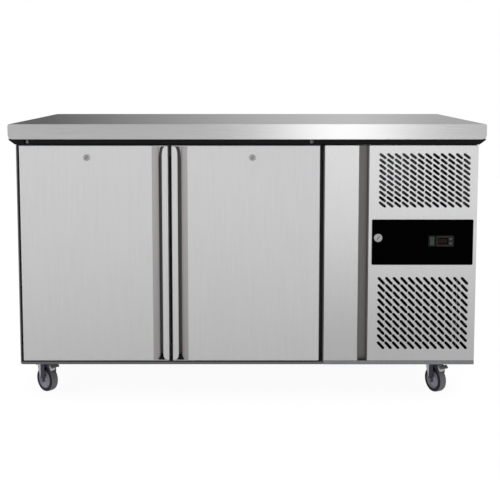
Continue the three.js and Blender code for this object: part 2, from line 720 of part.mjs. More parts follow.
function thermostat() {
  const { x0, x1, z0, z1 } = THERMOSTAT;
  const bezel = block(x0, x1, PLATE_FRONT - 2.6, PLATE_FRONT - 0.3, z0, z1);
  const body = block(x0 + 2, x1 - 2, PLATE_FRONT - 0.5, PLATE_FRONT + 26, z0 + 2, z1 - 2);
  const screen = block(x0 + 6, x1 - 16, PLATE_FRONT - 3, PLATE_FRONT - 1.8, z0 + 6, z1 - 6);
  const [y0, y1] = [PLATE_FRONT - 3, PLATE_FRONT + 2];
  const wells = [BUTTON.lower, BUTTON.upper].map((z) => buttonBlock(z, 0.35, y0, y1));
  return cut(join(bezel, body), screen, wells);
}

function buttonBlock(z, extra, y0, y1) {
  const [halfX, halfZ] = [BUTTON.halfX + extra, BUTTON.halfZ + extra];
  return block(BUTTON.x - halfX, BUTTON.x + halfX, y0, y1, z - halfZ, z + halfZ);
}

const thermostatButton = (z) => buttonBlock(z, 0, PLATE_FRONT - 3.6, PLATE_FRONT + 0.9);

function machineDoor() {
  const door = new THREE.Group();
  door.position.set(MACHINE_PIN.x, MACHINE_PIN.y, 0);
  place("machine_door_skin", machineDoorSkin(), steel, door);
  fridge.add(door);
  place("control_plate", controlPlate(), glossBlack);
  place("machine_door_lock", machineDoorLock(), zinc);
  const key = place("rocker", rocker(), switchGreen);
  key.position.set((SWITCH.x0 + SWITCH.x1) / 2, PLATE_FRONT, (SWITCH.z0 + SWITCH.z1) / 2);
  key.rotation.x = -ROCKER_TILT;
  place("thermostat", thermostat(), bezelGrey);
  place("button_lower", thermostatButton(BUTTON.lower), bezelGrey);
  place("button_upper", thermostatButton(BUTTON.upper), bezelGrey);
}

// ---- Condensing unit ----------------------------------------------------------------------------

const TRAY_FLOOR = BODY_BOTTOM + 2.6 + SHEET + FIT; // just above the tray's sheet

function condensingTray() {
  const [x0, x1, y0, y1, z0] = [338, 640, -290, 300, BODY_BOTTOM + 2.6];
  const outside = block(x0, x1, y0, y1, z0, z0 + 14);
  return cut(outside, block(x0 + SHEET, x1 - SHEET, y0 + SHEET, y1 - SHEET, z0 + SHEET, z0 + 15));
}

// Hermetic compressor: two pressed shells welded at a waist flange, on a foot plate.
function compressor() {
  const floor = TRAY_FLOOR;
  const profile = [
    [0, 0],
    [58, 0],
    [74, 18],
    [78, 70],
    [83, 74],
    [83, 80],
    [78, 84],
    [76, 140],
    [60, 168],
    [0, 178],
  ];
  const pot = solid(turned(profile, 18).rotateX(Math.PI / 2).translate(490, 140, floor + 14));
  const feet = block(400, 580, 90, 190, floor + 8, floor + 16);
  const pads = [412, 568].flatMap((x) => [102, 178].map((y) => rod("z", 9, floor, floor + 9, x, y, 8)));
  return join(pot, feet, pads);
}

const COIL = { x0: 362, x1: 618, y0: -284, y1: -246, z0: 130, z1: 384 };
const COOLING_FAN = { x: 490, y: -212, z: 257, radius: 98 };

function condenserCoil() {
  const { x0, x1, y0, y1, z0, z1 } = COIL;
  const core = block(x0, x1, y0, y1, z0, z1);
  const plates = [x0, x1].map((x) => block(x - 1.5, x + 1.5, y0 - 3, y1 + 3, TRAY_FLOOR, z1 + 4));
  return join(core, plates);
}

// Square shroud behind the coil, with the motor held behind the fan by two bars.
function fanShroud() {
  const { x, z, radius } = COOLING_FAN;
  const y = COIL.y1 + 3 + FIT;
  const plate = block(COIL.x0 - 4, COIL.x1 + 4, y, y + 2, COIL.z0 - 6, COIL.z1 + 6);
  const open = cut(plate, rod("y", radius + 6, y - 5, y + 5, x, z, 24));
  const bars = [-1, 1].map((side) => {
    const far = x + side * (radius + 14);
    const near = x + side * 10;
    return join(
      block(...between(far, far - side * 4), y, -170, z - 5, z + 5),
      block(...between(far, near), -174, -170, z - 5, z + 5),
    );
  });
  const motor = rod("y", 38, -184, -140, x, z, 16);
  const shaft = rod("y", 6, COOLING_FAN.y + 10.5, -180, x, z, 10);
  return join(open, bars, motor, shaft);
}

// ---- Cable gland --------------------------------------------------------------------------------

const GLAND = { x: 600, z: 175 };
const GLAND_RADIUS = 8;

function cableGland() {
  const { x, z } = GLAND;
  const hex = rod("y", 13, BODY_BACK + FIT, BODY_BACK + 6, x, z, 6);
  const thread = rod("y", GLAND_RADIUS, BODY_BACK - 12, BODY_BACK + 2, x, z);
  const dome = rod("y", 10, BODY_BACK + 5, BODY_BACK + 13, x, z, 12);
  const nut = rod("y", 12, BODY_BACK - 9, BODY_BACK - SHEET - FIT, x, z, 6);
  return cut(join(hex, thread, dome, nut), rod("y", 4.5, BODY_BACK - 20, BODY_BACK + 20, x, z, 12));
}

// ---- Casters ------------------------------------------------------------------------------------

// Fixed half: mounting plate, upper raceway and kingpin, about the swivel axis.
function casterPlate() {
  const plate = block(-40, 40, -32, 32, BODY_BOTTOM - 3.3, BODY_BOTTOM - 0.3);
  const race = rod("z", 26, 95.4, BODY_BOTTOM - 3, 0, 0, 18);
  const kingpin = rod("z", 5, 84.4, 96, 0, 0, 12);
  const nut = rod("z", 9, 83.4, 88.4, 0, 0, 6);
  return join(plate, race, kingpin, nut);
}

// Swivelling half: crown, two legs joined by an apron, and the axle bolt. The wheel trails towards +X.
function casterFork() {
  const crown = cut(rod("z", 25, 89, 95, 0, 0, 18), rod("z", 5.8, 88, 96, 0, 0, 12));
  const legShape = new THREE.Shape();
  legShape.moveTo(-14, 94);
  legShape.lineTo(-14, 86);
  legShape.lineTo(0, 78);
  legShape.lineTo(1, 58);
  legShape.lineTo(CASTER_TRAIL - 9, WHEEL_RADIUS);
  legShape.absarc(CASTER_TRAIL, WHEEL_RADIUS, 9, Math.PI, 2 * Math.PI, false);
  legShape.lineTo(17.5, 58);
  legShape.lineTo(16, 94);
  legShape.closePath();
  const legs = [
    [-18.5, -16],
    [16, 18.5],
  ].map(([y0, y1]) => prismY(legShape, y0, y1));
  const axle = rod("y", PIN_RADIUS, -22, 22, CASTER_TRAIL, WHEEL_RADIUS, 12);
  const heads = [
    [-23, -18.2],
    [18.2, 23],
  ].map(([y0, y1]) => rod("y", 7, y0, y1, CASTER_TRAIL, WHEEL_RADIUS, 6));
  const apron = block(-14, -11, -16.2, 16.2, 80, 90);
  return join(crown, legs, apron, axle, heads);
}

// Hub and tyre turned about Y; a flat of the tyre faces the floor.
function casterWheel() {
  const outer = WHEEL_RADIUS / Math.cos(Math.PI / WHEEL_SIDES);
  const half = WHEEL_HALF_WIDTH;
  const profile = [
    [4.8, -14.5],
    [12, -14.5],
    [14, -half],
    [outer - 4, -half],
    [outer, -half + 5],
    [outer, half - 5],
    [outer - 4, half],
    [14, half],
    [12, 14.5],
    [4.8, 14.5],
    [4.8, -14.5],
  ];
  return solid(turned(profile, WHEEL_SIDES).rotateY(Math.PI / WHEEL_SIDES));
}

// Foot lever over the trailing side of the wheel, with its shoe above the tyre.
function casterBrake() {
  const outline = [
    [22, 87],
    [22, 80],
    [30, 76],
    [38, 73.5],
    [42, 79],
    [52, 81],
    [64, 77],
    [65.5, 79.5],
    [53, 85.5],
    [40, 84],
    [30, 87.5],
  ];
  return prismY(outline, -14, 14);
}

function caster(label, x, y, braked) {
  const swivel = new THREE.Group();
  swivel.position.set(x, y, 0);
  swivel.rotation.z = THREE.MathUtils.degToRad(CASTER_YAW[label]);
  place(`caster_fork_${label}`, casterFork(), zinc, swivel);
  const wheel = place(`caster_wheel_${label}`, casterWheel(), tyreRubber, swivel);
  wheel.position.set(CASTER_TRAIL, 0, WHEEL_RADIUS);
  if (braked) place(`caster_brake_${label}`, casterBrake(), zinc, swivel);
  fridge.add(swivel);
  place(`caster_plate_${label}`, casterPlate(), zinc).position.set(x, y, 0);
}

// ---- Assembly -----------------------------------------------------------------------------------

place("worktop_skin", worktopSkin(), steel);
place("worktop_core", worktopCore(), foamYellow);
place("worktop_skirt", worktopSkirt(), blackPlastic);
place("left_side_panel", block(-BODY_X, -BODY_X + SHEET, FRONT + 7, BODY_BACK, BODY_BOTTOM, BODY_TOP), steel);
place("right_side_panel", block(BODY_X - SHEET, BODY_X, -301.5, BODY_BACK, BODY_BOTTOM, BODY_TOP), steel);
place("back_panel", backPanel(), aluminium);
place("base_pan", basePan(), darkSteel);
place("cabinet_foam", cabinetFoam(), foamYellow);
place("inner_liner", innerLiner(), steel);
place("face_frame", faceFrame(), frameGrey);
place("centre_mullion", centreMullion(), frameGrey);
place("filler_panel", fillerPanel(), steel);
place("partition_channel", partitionChannel(), darkSteel);
place("shelf_left", wireShelf(-606, -260), zinc);
place("shelf_right", wireShelf(-180, 166), zinc);
place("rack_left", sideRack(CAVITY.x0 + FIT, 1), steel);
place("rack_middle", middleRack(), steel);
place("evaporator_cover", evaporatorCover(), steel);
place("evaporator_coil", evaporatorCoil(), aluminium);
const blower = place("evaporator_fan", fan(EVAP_FAN.radius, 18, 14, 5), aluminium);
blower.position.set(EVAP_FAN.x, EVAP_FAN.y, EVAP_FAN.z);
blower.rotation.z = Math.PI / 2;
place("left_hinge_top", topHinge(LEFT_PIN_X), zinc);
place("left_hinge_bottom", bottomHinge(LEFT_PIN_X), zinc);
place("right_hinge_top", topHinge(RIGHT_PIN_X), zinc);
place("right_hinge_bottom", bottomHinge(RIGHT_PIN_X), zinc);
storageDoor("left", LEFT_PIN_X, 1);
storageDoor("right", RIGHT_PIN_X, -1);
place("machine_door_hinge", machineDoorHinge(), zinc);
machineDoor();
place("condensing_tray", condensingTray(), darkSteel);
place("compressor", compressor(), compressorBlack);
place("condenser_coil", condenserCoil(), aluminium);
place("fan_shroud", fanShroud(), compressorBlack);
place("condenser_fan", fan(COOLING_FAN.radius, 24, 20, 5), aluminium).position.set(
  COOLING_FAN.x,
  COOLING_FAN.y,
  COOLING_FAN.z,
);
place("cable_gland", cableGland(), blackPlastic);
caster("front_left", CASTER_LEFT_X, CASTER_FRONT_Y, true);
caster("front_right", CASTER_RIGHT_X, CASTER_FRONT_Y, true);
caster("back_left", CASTER_LEFT_X, CASTER_BACK_Y, false);
caster("back_right", CASTER_RIGHT_X, CASTER_BACK_Y, false);

export default fridge;
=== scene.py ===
# Two-door undercounter refrigerator: the looks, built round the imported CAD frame.
# Shapes are drawn in millimetres in the CAD frame and scaled to metres when a piece is made.
import math
from functools import partial

import bmesh
import bpy
from mathutils import Matrix, Vector
from mathutils.geometry import tessellate_polygon


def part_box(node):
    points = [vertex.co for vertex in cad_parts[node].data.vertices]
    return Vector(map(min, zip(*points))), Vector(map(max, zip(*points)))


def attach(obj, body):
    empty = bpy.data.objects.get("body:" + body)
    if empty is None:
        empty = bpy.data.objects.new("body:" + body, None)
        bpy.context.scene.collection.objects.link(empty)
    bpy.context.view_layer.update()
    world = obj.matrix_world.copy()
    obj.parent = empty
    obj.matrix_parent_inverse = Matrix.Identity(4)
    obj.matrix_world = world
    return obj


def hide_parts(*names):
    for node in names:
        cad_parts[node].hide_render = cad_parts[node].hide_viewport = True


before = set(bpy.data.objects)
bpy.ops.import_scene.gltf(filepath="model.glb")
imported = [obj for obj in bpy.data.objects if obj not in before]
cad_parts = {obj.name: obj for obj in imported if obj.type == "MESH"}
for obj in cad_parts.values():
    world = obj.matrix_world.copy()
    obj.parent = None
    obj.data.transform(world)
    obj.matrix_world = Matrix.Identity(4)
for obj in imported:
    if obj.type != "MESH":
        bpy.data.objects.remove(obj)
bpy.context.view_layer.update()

MM = 0.001
TURN = 2 * math.pi


def corners(node):
    """Lowest and highest corner of a CAD node, in millimetres."""
    low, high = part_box(node)
    return Vector(low) / MM, Vector(high) / MM


def middle(node):
    """The centre of a CAD node's box, in millimetres."""
    low, high = corners(node)
    return (low + high) / 2


# ---- Outlines ----


def arc(cx, cy, radius, start, end, steps):
    """Points on an arc between two angles in degrees."""
    points = []
    for i in range(steps + 1):
        angle = math.radians(start + (end - start) * i / steps)
        points.append((cx + radius * math.cos(angle), cy + radius * math.sin(angle)))
    return points


def circle(cx, cy, radius, steps=32):
    return arc(cx, cy, radius, 0, 360, steps)[:-1]


def rounded_rect(x0, x1, y0, y1, radius, steps=5):
    r = radius
    centres = ((x1 - r, y1 - r), (x0 + r, y1 - r), (x0 + r, y0 + r), (x1 - r, y0 + r))
    return [point for k, (x, y) in enumerate(centres) for point in arc(x, y, r, 90 * k, 90 * k + 90, steps)]


def upright_rect(low, high, inset, radius, steps=5):
    """A rounded rectangle across Y, inset from two corners of a box."""
    return rounded_rect(low.x + inset, high.x - inset, low.z + inset, high.z - inset, radius, steps)


def capsule(x0, y0, x1, y1, width, steps=4):
    """A slot with round ends between two points."""
    angle = math.degrees(math.atan2(y1 - y0, x1 - x0))
    half = width / 2
    return arc(x1, y1, half, angle - 90, angle + 90, steps) + arc(
        x0, y0, half, angle + 90, angle + 270, steps
    )


def rounding(here, back, on, reach, steps):
    """Points that round a corner off, from a reach before it to a reach past it."""
    a, b = here + back.normalized() * reach, here + on.normalized() * reach
    return [a.lerp(here, t).lerp(here.lerp(b, t), t) for t in (k / steps for k in range(steps + 1))]


def fillet(corner_list, steps=5):
    """A closed outline from (x, y, radius) corners, each one rounded by its radius."""
    points = []
    count = len(corner_list)
    for i, (x, y, radius) in enumerate(corner_list):
        here = Vector((x, y))
        if radius <= 0:
            points.append((x, y))
            continue
        before = Vector(corner_list[i - 1][:2]) - here
        after = Vector(corner_list[(i + 1) % count][:2]) - here
        half = before.angle(after) / 2
        reach = min(radius / math.tan(half), before.length * 0.49, after.length * 0.49)
        points += [tuple(point) for point in rounding(here, before, after, reach, steps)]
    return points


# ---- Mesh making ----

PLACE = {
    "x": lambda u, v, w: (w, u, v),
    "y": lambda u, v, w: (u, w, v),
    "z": lambda u, v, w: (u, v, w),
}


def skin(bm, rings, closed=False):
    """Faces between each ring of points and the next, and from the last to the first if closed."""
    for near, far in zip(rings, rings[1:] + rings[:1] if closed else rings[1:]):
        for k in range(len(near)):
            different = list(dict.fromkeys([near[k - 1], near[k], far[k], far[k - 1]]))
            if len(different) > 2:
                bm.faces.new(different)


def prism(bm, outline, axis, low, high, holes=()):
    """An outline, with holes, drawn across an axis and extended along it from low to high."""
    place = PLACE[axis]
    loops = [list(outline)] + [list(hole) for hole in holes]
    ends = []
    for level in (low, high):
        ends.append([[bm.verts.new(place(u, v, level)) for u, v in loop] for loop in loops])
    if holes:
        flat = [[Vector((u, v, 0)) for u, v in loop] for loop in loops]
        triangles = tessellate_polygon(flat)
        for end in ends:
            every = [vert for loop in end for vert in loop]
            for triangle in triangles:
                bm.faces.new([every[i] for i in triangle])
    else:
        for end in ends:
            bm.faces.new(end[0])
    for lower, upper in zip(*ends):
        skin(bm, [lower, upper])


def block(bm, x0, x1, y0, y1, z0, z1):
    prism(bm, [(x0, y0), (x1, y0), (x1, y1), (x0, y1)], "z", z0, z1)


def lathe(bm, profile, axis, u, v, sides=32, closed=False):
    """A profile of (radius, height) turned round an axis that passes through (u, v)."""
    place = PLACE[axis]
    rings = []
    for radius, height in profile:
        if radius < 1e-6:
            rings.append([bm.verts.new(place(u, v, height))] * sides)
        else:
            rings.append([bm.verts.new(place(a, b, height)) for a, b in circle(u, v, radius, sides)])
    skin(bm, rings, closed)


def tube(bm, path, radius, sides=8, closed=False):
    """A round bar along a path of points."""
    points = [Vector(p) for p in path]
    count = len(points)
    rings = []
    side = None
    for i, point in enumerate(points):
        ahead = points[(i + 1) % count] if closed or i < count - 1 else point
        behind = points[i - 1] if closed or i > 0 else point
        along = (ahead - behind).normalized()
        if side is None:
            side = along.orthogonal().normalized()
        side = (side - along * side.dot(along)).normalized()
        up = along.cross(side)
        rings.append([bm.verts.new(point + side * a + up * b) for a, b in circle(0, 0, radius, sides)])
    if not closed:
        bm.faces.new(rings[0])
        bm.faces.new(rings[-1])
    skin(bm, rings, closed)


def bent(points, radius, steps=4):
    """A path in space whose inner corners are rounded."""
    path = [Vector(points[0])]
    for before, here, after in zip(points, points[1:], points[2:]):
        here = Vector(here)
        back, on = Vector(before) - here, Vector(after) - here
        path += rounding(here, back, on, min(radius, back.length * 0.45, on.length * 0.45), steps)
    return path + [Vector(points[-1])]


def border(bm, section, x0, x1, z0, z1):
    """A section of (inset, y) points swept round an upright rectangle with mitred corners."""
    rings = []
    for cx, cz, dx, dz in ((x0, z0, 1, 1), (x1, z0, -1, 1), (x1, z1, -1, -1), (x0, z1, 1, -1)):
        rings.append([bm.verts.new((cx + dx * inset, y, cz + dz * inset)) for inset, y in section])
    skin(bm, rings, closed=True)


def linked(name, data):
    """A new object in the scene."""
    made = bpy.data.objects.new(name, data)
    bpy.context.scene.collection.objects.link(made)
    return made


def drawn(bm, name):
    """A finished mesh from what was drawn."""
    mesh = bpy.data.meshes.new(name)
    bm.to_mesh(mesh)
    bm.free()
    return mesh


def piece(name, bm, body, slot, material, replaces=(), bevel=0.0, segments=2, sharp=38, move=None):
    """Makes the object that a mesh stands for, ties it to its CAD body and hides the CAD nodes it replaces;
    the slot is not used.
    """
    if move is not None:
        bmesh.ops.transform(bm, matrix=move, verts=bm.verts)
    bmesh.ops.scale(bm, vec=(MM, MM, MM), verts=bm.verts)
    bmesh.ops.recalc_face_normals(bm, faces=bm.faces)
    made = linked(name, drawn(bm, name))
    made.data.materials.append(material)
    shade(made, bevel, segments, sharp)
    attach(made, body)
    if replaces:
        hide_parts(*replaces)
    return made


def turned(name, profile, axis, u, v, sides, body, slot, material, replaces=(), closed=False, **more):
    """A piece that is one profile turned round an axis."""
    bm = bmesh.new()
    lathe(bm, profile, axis, u, v, sides, closed)
    return piece(name, bm, body, slot, material, replaces, **more)


def extended(name, outline, axis, low, high, body, slot, material, replaces=(), holes=(), **more):
    """A piece that is one outline, with holes, extended along an axis."""
    bm = bmesh.new()
    prism(bm, outline, axis, low, high, holes)
    return piece(name, bm, body, slot, material, replaces, **more)


def shade(target, bevel, segments=2, sharp=38):
    """Rounds the edges of an object by a bevel in millimetres and smooths what is nearly flat."""
    target.data.shade_smooth()
    target.data.set_sharp_from_angle(angle=math.radians(sharp))
    if bevel:
        edges = target.modifiers.new("edges", "BEVEL")
        edges.width = bevel * MM
        edges.segments = segments
        edges.limit_method = "ANGLE"
        edges.angle_limit = math.radians(sharp)
        edges.harden_normals = True
    flatten = target.modifiers.new("flat faces", "WEIGHTED_NORMAL")
    flatten.keep_sharp = True
    flatten.weight = 100


def keep(material, *names, bevel=0.0):
    """Shows CAD nodes as they are, with a finished material and softened edges."""
    for name in names:
        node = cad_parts[name]
        if not node.material_slots:
            node.data.materials.append(material)
        for material_slot in node.material_slots:
            material_slot.link = "OBJECT"
            material_slot.material = material
        shade(node, bevel)


# ---- Materials ----


def add(tree, kind, inputs=(), output=0, **settings):
    """Adds a shader node, sets or links its inputs, and gives one of its outputs, if it has any."""
    made = tree.nodes.new("ShaderNode" + kind)
    for setting, value in settings.items():
        setattr(made, setting, value)
    for socket, value in dict(inputs).items():
        if isinstance(value, bpy.types.NodeSocket):
            tree.links.new(value, made.inputs[socket])
        else:
            made.inputs[socket].default_value = value
    return None if output is None else made.outputs[output]


def surface(name, colour, roughness, scale=250, vary=0.05, blotch=0.04, spread=0.05, bump=0.05,
            grain=(1, 1, 1), tangent=None, **sockets):
    """A procedural finish: fine grain and broad patches in colour, roughness and relief."""
    made = bpy.data.materials.new(name)
    made.use_nodes = True
    tree = made.node_tree
    shader = tree.nodes["Principled BSDF"]
    for socket, value in sockets.items():
        shader.inputs[socket.replace("_", " ")].default_value = value
    place = add(tree, "TexCoord", output="Object")
    stretched = add(tree, "Mapping", {"Vector": place, "Scale": grain})
    fine = add(tree, "TexNoise", {"Vector": stretched, "Scale": scale, "Detail": 5, "Roughness": 0.65})
    broad = add(tree, "TexNoise", {"Vector": place, "Scale": 7, "Detail": 3})
    tones = add(tree, "ValToRGB", {"Fac": fine})
    for stop, change, position in zip(tones.node.color_ramp.elements, (-vary, vary), (0.3, 0.7)):
        stop.color = [min(1, channel * (1 + change)) for channel in colour] + [1]
        stop.position = position
    patches = add(tree, "ValToRGB", {"Fac": broad})
    patches.node.color_ramp.elements[0].color = [1 - blotch] * 3 + [1]
    both = add(tree, "Mix", {"Factor": 1, "A": tones, "B": patches}, "Result", data_type="RGBA",
               blend_type="MULTIPLY")
    tree.links.new(both, shader.inputs["Base Color"])
    sheen = add(tree, "MapRange", {"Value": fine, "To Min": max(0.02, roughness - spread),
                                   "To Max": min(1, roughness + spread)})
    tree.links.new(sheen, shader.inputs["Roughness"])
    if bump:
        relief = add(tree, "Bump", {"Height": fine, "Strength": bump, "Distance": 0.0004})
        tree.links.new(relief, shader.inputs["Normal"])
    if tangent:
        across = add(tree, "CombineXYZ", zip("XYZ", tangent))
        in_world = add(tree, "VectorTransform", {"Vector": across}, vector_type="VECTOR",
                       convert_from="OBJECT", convert_to="WORLD")
        tree.links.new(in_world, shader.inputs["Tangent"])
    return made


ALONG_X = (0.03, 1, 1)
ALONG_Z = (1, 1, 0.03)
metal = partial(surface, Metallic=1.0)
plastic = partial(surface, Specular_IOR_Level=0.3)
STEEL = (0.64, 0.64, 0.645)
DOOR_STEEL = (0.69, 0.69, 0.698)
# Door steel darkened: painted shade for the grip's recess.
RECESS_SHADE = (0.45, 0.435, 0.43)

worktop_steel = metal("worktop_steel", STEEL, 0.25, 300, 0.05, 0.03, 0.04, 0.03, ALONG_X, (0, 1, 1),
                      Anisotropic=0.75)
upright = partial(metal, grain=ALONG_Z, scale=300, blotch=0.03, tangent=(1, 1, 0))
door_steel = upright("door_steel", DOOR_STEEL, 0.54, vary=0.03, spread=0.04, bump=0.03, Anisotropic=0.5)
panel_steel = upright("panel_steel", STEEL, 0.28, vary=0.015, spread=0.02, bump=0.008, Anisotropic=0.7)
recess_steel = upright("recess_steel", RECESS_SHADE, 0.5, vary=0.03, spread=0.04, bump=0.03, Anisotropic=0.5)
lining_steel = metal("lining_steel", (0.6, 0.61, 0.62), 0.42, 200, 0.04, 0.05, 0.06, grain=ALONG_Z)
# Steel darkened: painted shade for parts that sit in shade, such as the partition's channel and the vanes
# behind the back slots.
dull_steel = metal("dull_steel", (0.21, 0.203, 0.197), 0.5, 200, 0.05, 0.06, 0.06, grain=ALONG_Z)
galvanised = metal("galvanised", (0.5, 0.515, 0.53), 0.5, 45, 0.07, 0.05, 0.06, 0.03)
aluminium = metal("aluminium", (0.62, 0.64, 0.66), 0.42, 120, 0.06, 0.06, 0.08)
zinc = metal("zinc", (0.58, 0.585, 0.65), 0.33, 160, 0.06, 0.12, 0.07)
shadow_zinc = plastic("shadow_zinc", (0.05, 0.045, 0.065), 0.6, 160, 0.06, 0.12, 0.07, 0.05)
# Zinc darkened: painted shade on the axle, its nuts and washers.
axle_zinc = metal("axle_zinc", (0.2, 0.2, 0.23), 0.4, 160, 0.06, 0.12, 0.07)
chrome = metal("chrome", (0.72, 0.72, 0.74), 0.16, 200, 0.03, 0.03, 0.04, 0.02)
lock_metal = metal("lock_metal", (0.46, 0.46, 0.465), 0.42, 300, 0.05, 0.05, 0.05, 0.04)
copper = metal("copper", (0.75, 0.33, 0.2), 0.3, 150, 0.08, 0.15, 0.08)
# Black rail, made darker still: painted shade under the worktop's overhang.
rail_black_and_shade = surface("rail_black_and_shade", (0.009, 0.009, 0.0095), 0.6, scale=500, bump=0.1,
                     Specular_IOR_Level=0.06)
frame_dark = plastic("frame_dark", (0.035, 0.036, 0.039), 0.55, scale=700, vary=0.1, bump=0.15)
frame_grey = plastic("frame_grey", (0.13, 0.128, 0.128), 0.5, scale=700, vary=0.08, bump=0.1)
cap_grey = plastic("cap_grey", (0.44, 0.44, 0.45), 0.35, scale=300, vary=0.05, bump=0.05)
base_grey = metal("base_grey", (0.28, 0.285, 0.295), 0.5, 60, 0.08, 0.08, 0.08, 0.03)
# Near-black: painted shade for holes and deep corners.
hole_shade_black = surface("hole_shade_black", (0.006, 0.006, 0.006), 0.7, scale=300, Specular_IOR_Level=0.1)
gloss_black = surface("gloss_black", (0.0004, 0.0004, 0.0004), 0.12, scale=40, spread=0.02, bump=0,
                      Specular_IOR_Level=0.006)
switch_green = plastic("switch_green", (0.026, 0.048, 0.029), 0.3, scale=60, vary=0.08, bump=0.02)
bezel_grey = surface("bezel_grey", (0.018, 0.017, 0.0165), 0.5, scale=900, vary=0.1, bump=0.12,
                     Specular_IOR_Level=0.12)
button_grey = plastic("button_grey", (0.07, 0.07, 0.072), 0.5, scale=900, vary=0.1, bump=0.1)
display_glass = surface("display_glass", (0.004, 0.0007, 0.001), 0.12, scale=30, bump=0,
                        Specular_IOR_Level=0.02)
display_segment = plastic("display_segment", (0.02, 0.003, 0.004), 0.3, scale=60, bump=0)
gasket_rubber = plastic("gasket_rubber", (0.045, 0.046, 0.05), 0.7, scale=400, vary=0.12, bump=0.1)
white_plastic = plastic("white_plastic", (0.78, 0.785, 0.79), 0.38, scale=500, vary=0.02, bump=0.06)
board = surface("board", (0.42, 0.3, 0.17), 0.85, 60, 0.25, 0.2, 0.05, 0.3, (0.2, 1, 1))
foam_yellow = surface("foam_yellow", (0.7, 0.56, 0.25), 0.9, 220, 0.15, 0.12, 0.05, 0.6)
tyre_rubber = plastic("tyre_rubber", (0.011, 0.009, 0.015), 0.6, scale=260, vary=0.15, blotch=0.2, bump=0.2)
# Tyre rubber made lighter: painted light on the tread, which faces the light.
tread_grey = plastic("tread_grey", (0.16, 0.15, 0.165), 0.7, scale=260, vary=0.12, blotch=0.15, bump=0.2)
# Near-black hinges: painted shade, so they stay dark in the gaps beside and under the doors.
hinge_black = plastic("hinge_black", (0.02, 0.02, 0.022), 0.5, scale=300, vary=0.1, bump=0.08)
# Very dark steel: painted shade deep in the grip's pocket.
pocket_steel = metal("pocket_steel", (0.16, 0.15, 0.142), 0.5, 300, 0.05, 0.04, 0.05, 0.03, grain=ALONG_Z)
fin_black = plastic("fin_black", (0.03, 0.032, 0.034), 0.5, scale=120, vary=0.15, bump=0.1)
hub_grey = plastic("hub_grey", (0.28, 0.275, 0.335), 0.4, scale=300, vary=0.08, blotch=0.1, bump=0.06)
pedal_grey = plastic("pedal_grey", (0.16, 0.175, 0.17), 0.55, scale=300, vary=0.1, blotch=0.1, bump=0.1)
machine_black = surface("machine_black", (0.012, 0.012, 0.014), 0.35, scale=220, vary=0.15, bump=0.12)
pipe_foam = surface("pipe_foam", (0.02, 0.02, 0.02), 0.9, scale=350, vary=0.2, bump=0.4)


# ---- Worktop and cabinet ----


def worktop():
    """Folded sheet with soft edges, its lower side edges rounded more, and hemmed in underneath."""
    low, high = corners("worktop_skin")
    section = fillet([(low.x, high.z, 4), (high.x, high.z, 4), (high.x, low.z, 11), (low.x, low.z, 11)])
    bm = bmesh.new()
    prism(bm, section, "y", low.y, high.y)
    rims = {edge for face in bm.faces if len(face.verts) > 4 for edge in face.edges}
    bmesh.ops.bevel(bm, geom=list(rims), offset=2.4, segments=4, profile=0.5, affect="EDGES")
    flat = [face for face in bm.faces if face.calc_center_median().z < low.z + 0.01]
    under = max(flat, key=lambda face: face.calc_area())
    bmesh.ops.inset_region(bm, faces=[under], thickness=6)
    bmesh.ops.delete(bm, geom=[under], context="FACES")
    made = piece("worktop_sheet", bm, "cabinet", "stainless", worktop_steel, ["worktop_skin"])
    thick = made.modifiers.new("sheet", "SOLIDIFY")
    thick.thickness = 1.5 * MM
    thick.offset = -1


worktop()
keep(board, "worktop_core")
# The skirt is black and also painted with the shade under the overhang.
keep(rail_black_and_shade, "worktop_skirt", bevel=0.6)
keep(door_steel, "left_side_panel", "right_side_panel", bevel=0.4)
keep(galvanised, "back_panel", bevel=0.4)
keep(base_grey, "base_pan", bevel=0.4)
keep(foam_yellow, "cabinet_foam")
keep(lining_steel, "inner_liner", "rack_left", "rack_middle", "evaporator_cover", bevel=0.3)
keep(frame_grey, "face_frame", bevel=0.5)
keep(frame_dark, "centre_mullion", bevel=0.5)
keep(panel_steel, "filler_panel", bevel=0.4)
# The partition's channel is painted dark for the shade in its groove.
keep(dull_steel, "partition_channel", bevel=0.3)
keep(galvanised, "condensing_tray", bevel=0.3)
# Hinges in the near-black: painted shade in the gaps.
keep(hinge_black, "left_hinge_top", "left_hinge_bottom", "right_hinge_top", "right_hinge_bottom", bevel=0.5)
keep(hinge_black, "machine_door_hinge", bevel=0.4)


def screw_heads(name, places, axis):
    """Domed screw heads; each place is the centre across the axis, its level and the outward sign."""
    radius, rise = 3.4, 1.8
    profile = [(0, -0.3), (radius, -0.3), (radius, 0.3), (radius * 0.85, rise * 0.75),
               (radius * 0.45, rise), (radius * 0.4, rise * 0.45), (0, rise * 0.45)]
    bm = bmesh.new()
    for u, v, level, out in places:
        lathe(bm, [(r, level + out * h) for r, h in profile], axis, u, v, 14)
    piece(name, bm, "cabinet", "zinc", zinc)


def cabinet_screws():
    low, high = corners("back_panel")
    edge = 12
    rows = [low.z + edge + i * (high.z - low.z - 2 * edge) / 5 for i in range(6)]
    columns = [low.x + edge + i * (high.x - low.x - 2 * edge) / 8 for i in range(9)]
    places = [(x, z, high.y, 1) for x in (columns[0], columns[-1]) for z in rows]
    places += [(x, z, high.y, 1) for x in columns[1:-1] for z in (rows[0], rows[-1])]
    screw_heads("back_panel_screws", places, "y")
    low, high = corners("evaporator_cover")
    x = high.x - 7.8
    places = [(y, z, cover_face, -1) for y in (low.y + 14, high.y - 14) for z in (low.z + 30, high.z - 14)]
    screw_heads("evaporator_cover_screws", places, "x")


cover_face = corners("evaporator_coil")[0].x - 37  # the face of the evaporator cover's sheet
cabinet_screws()


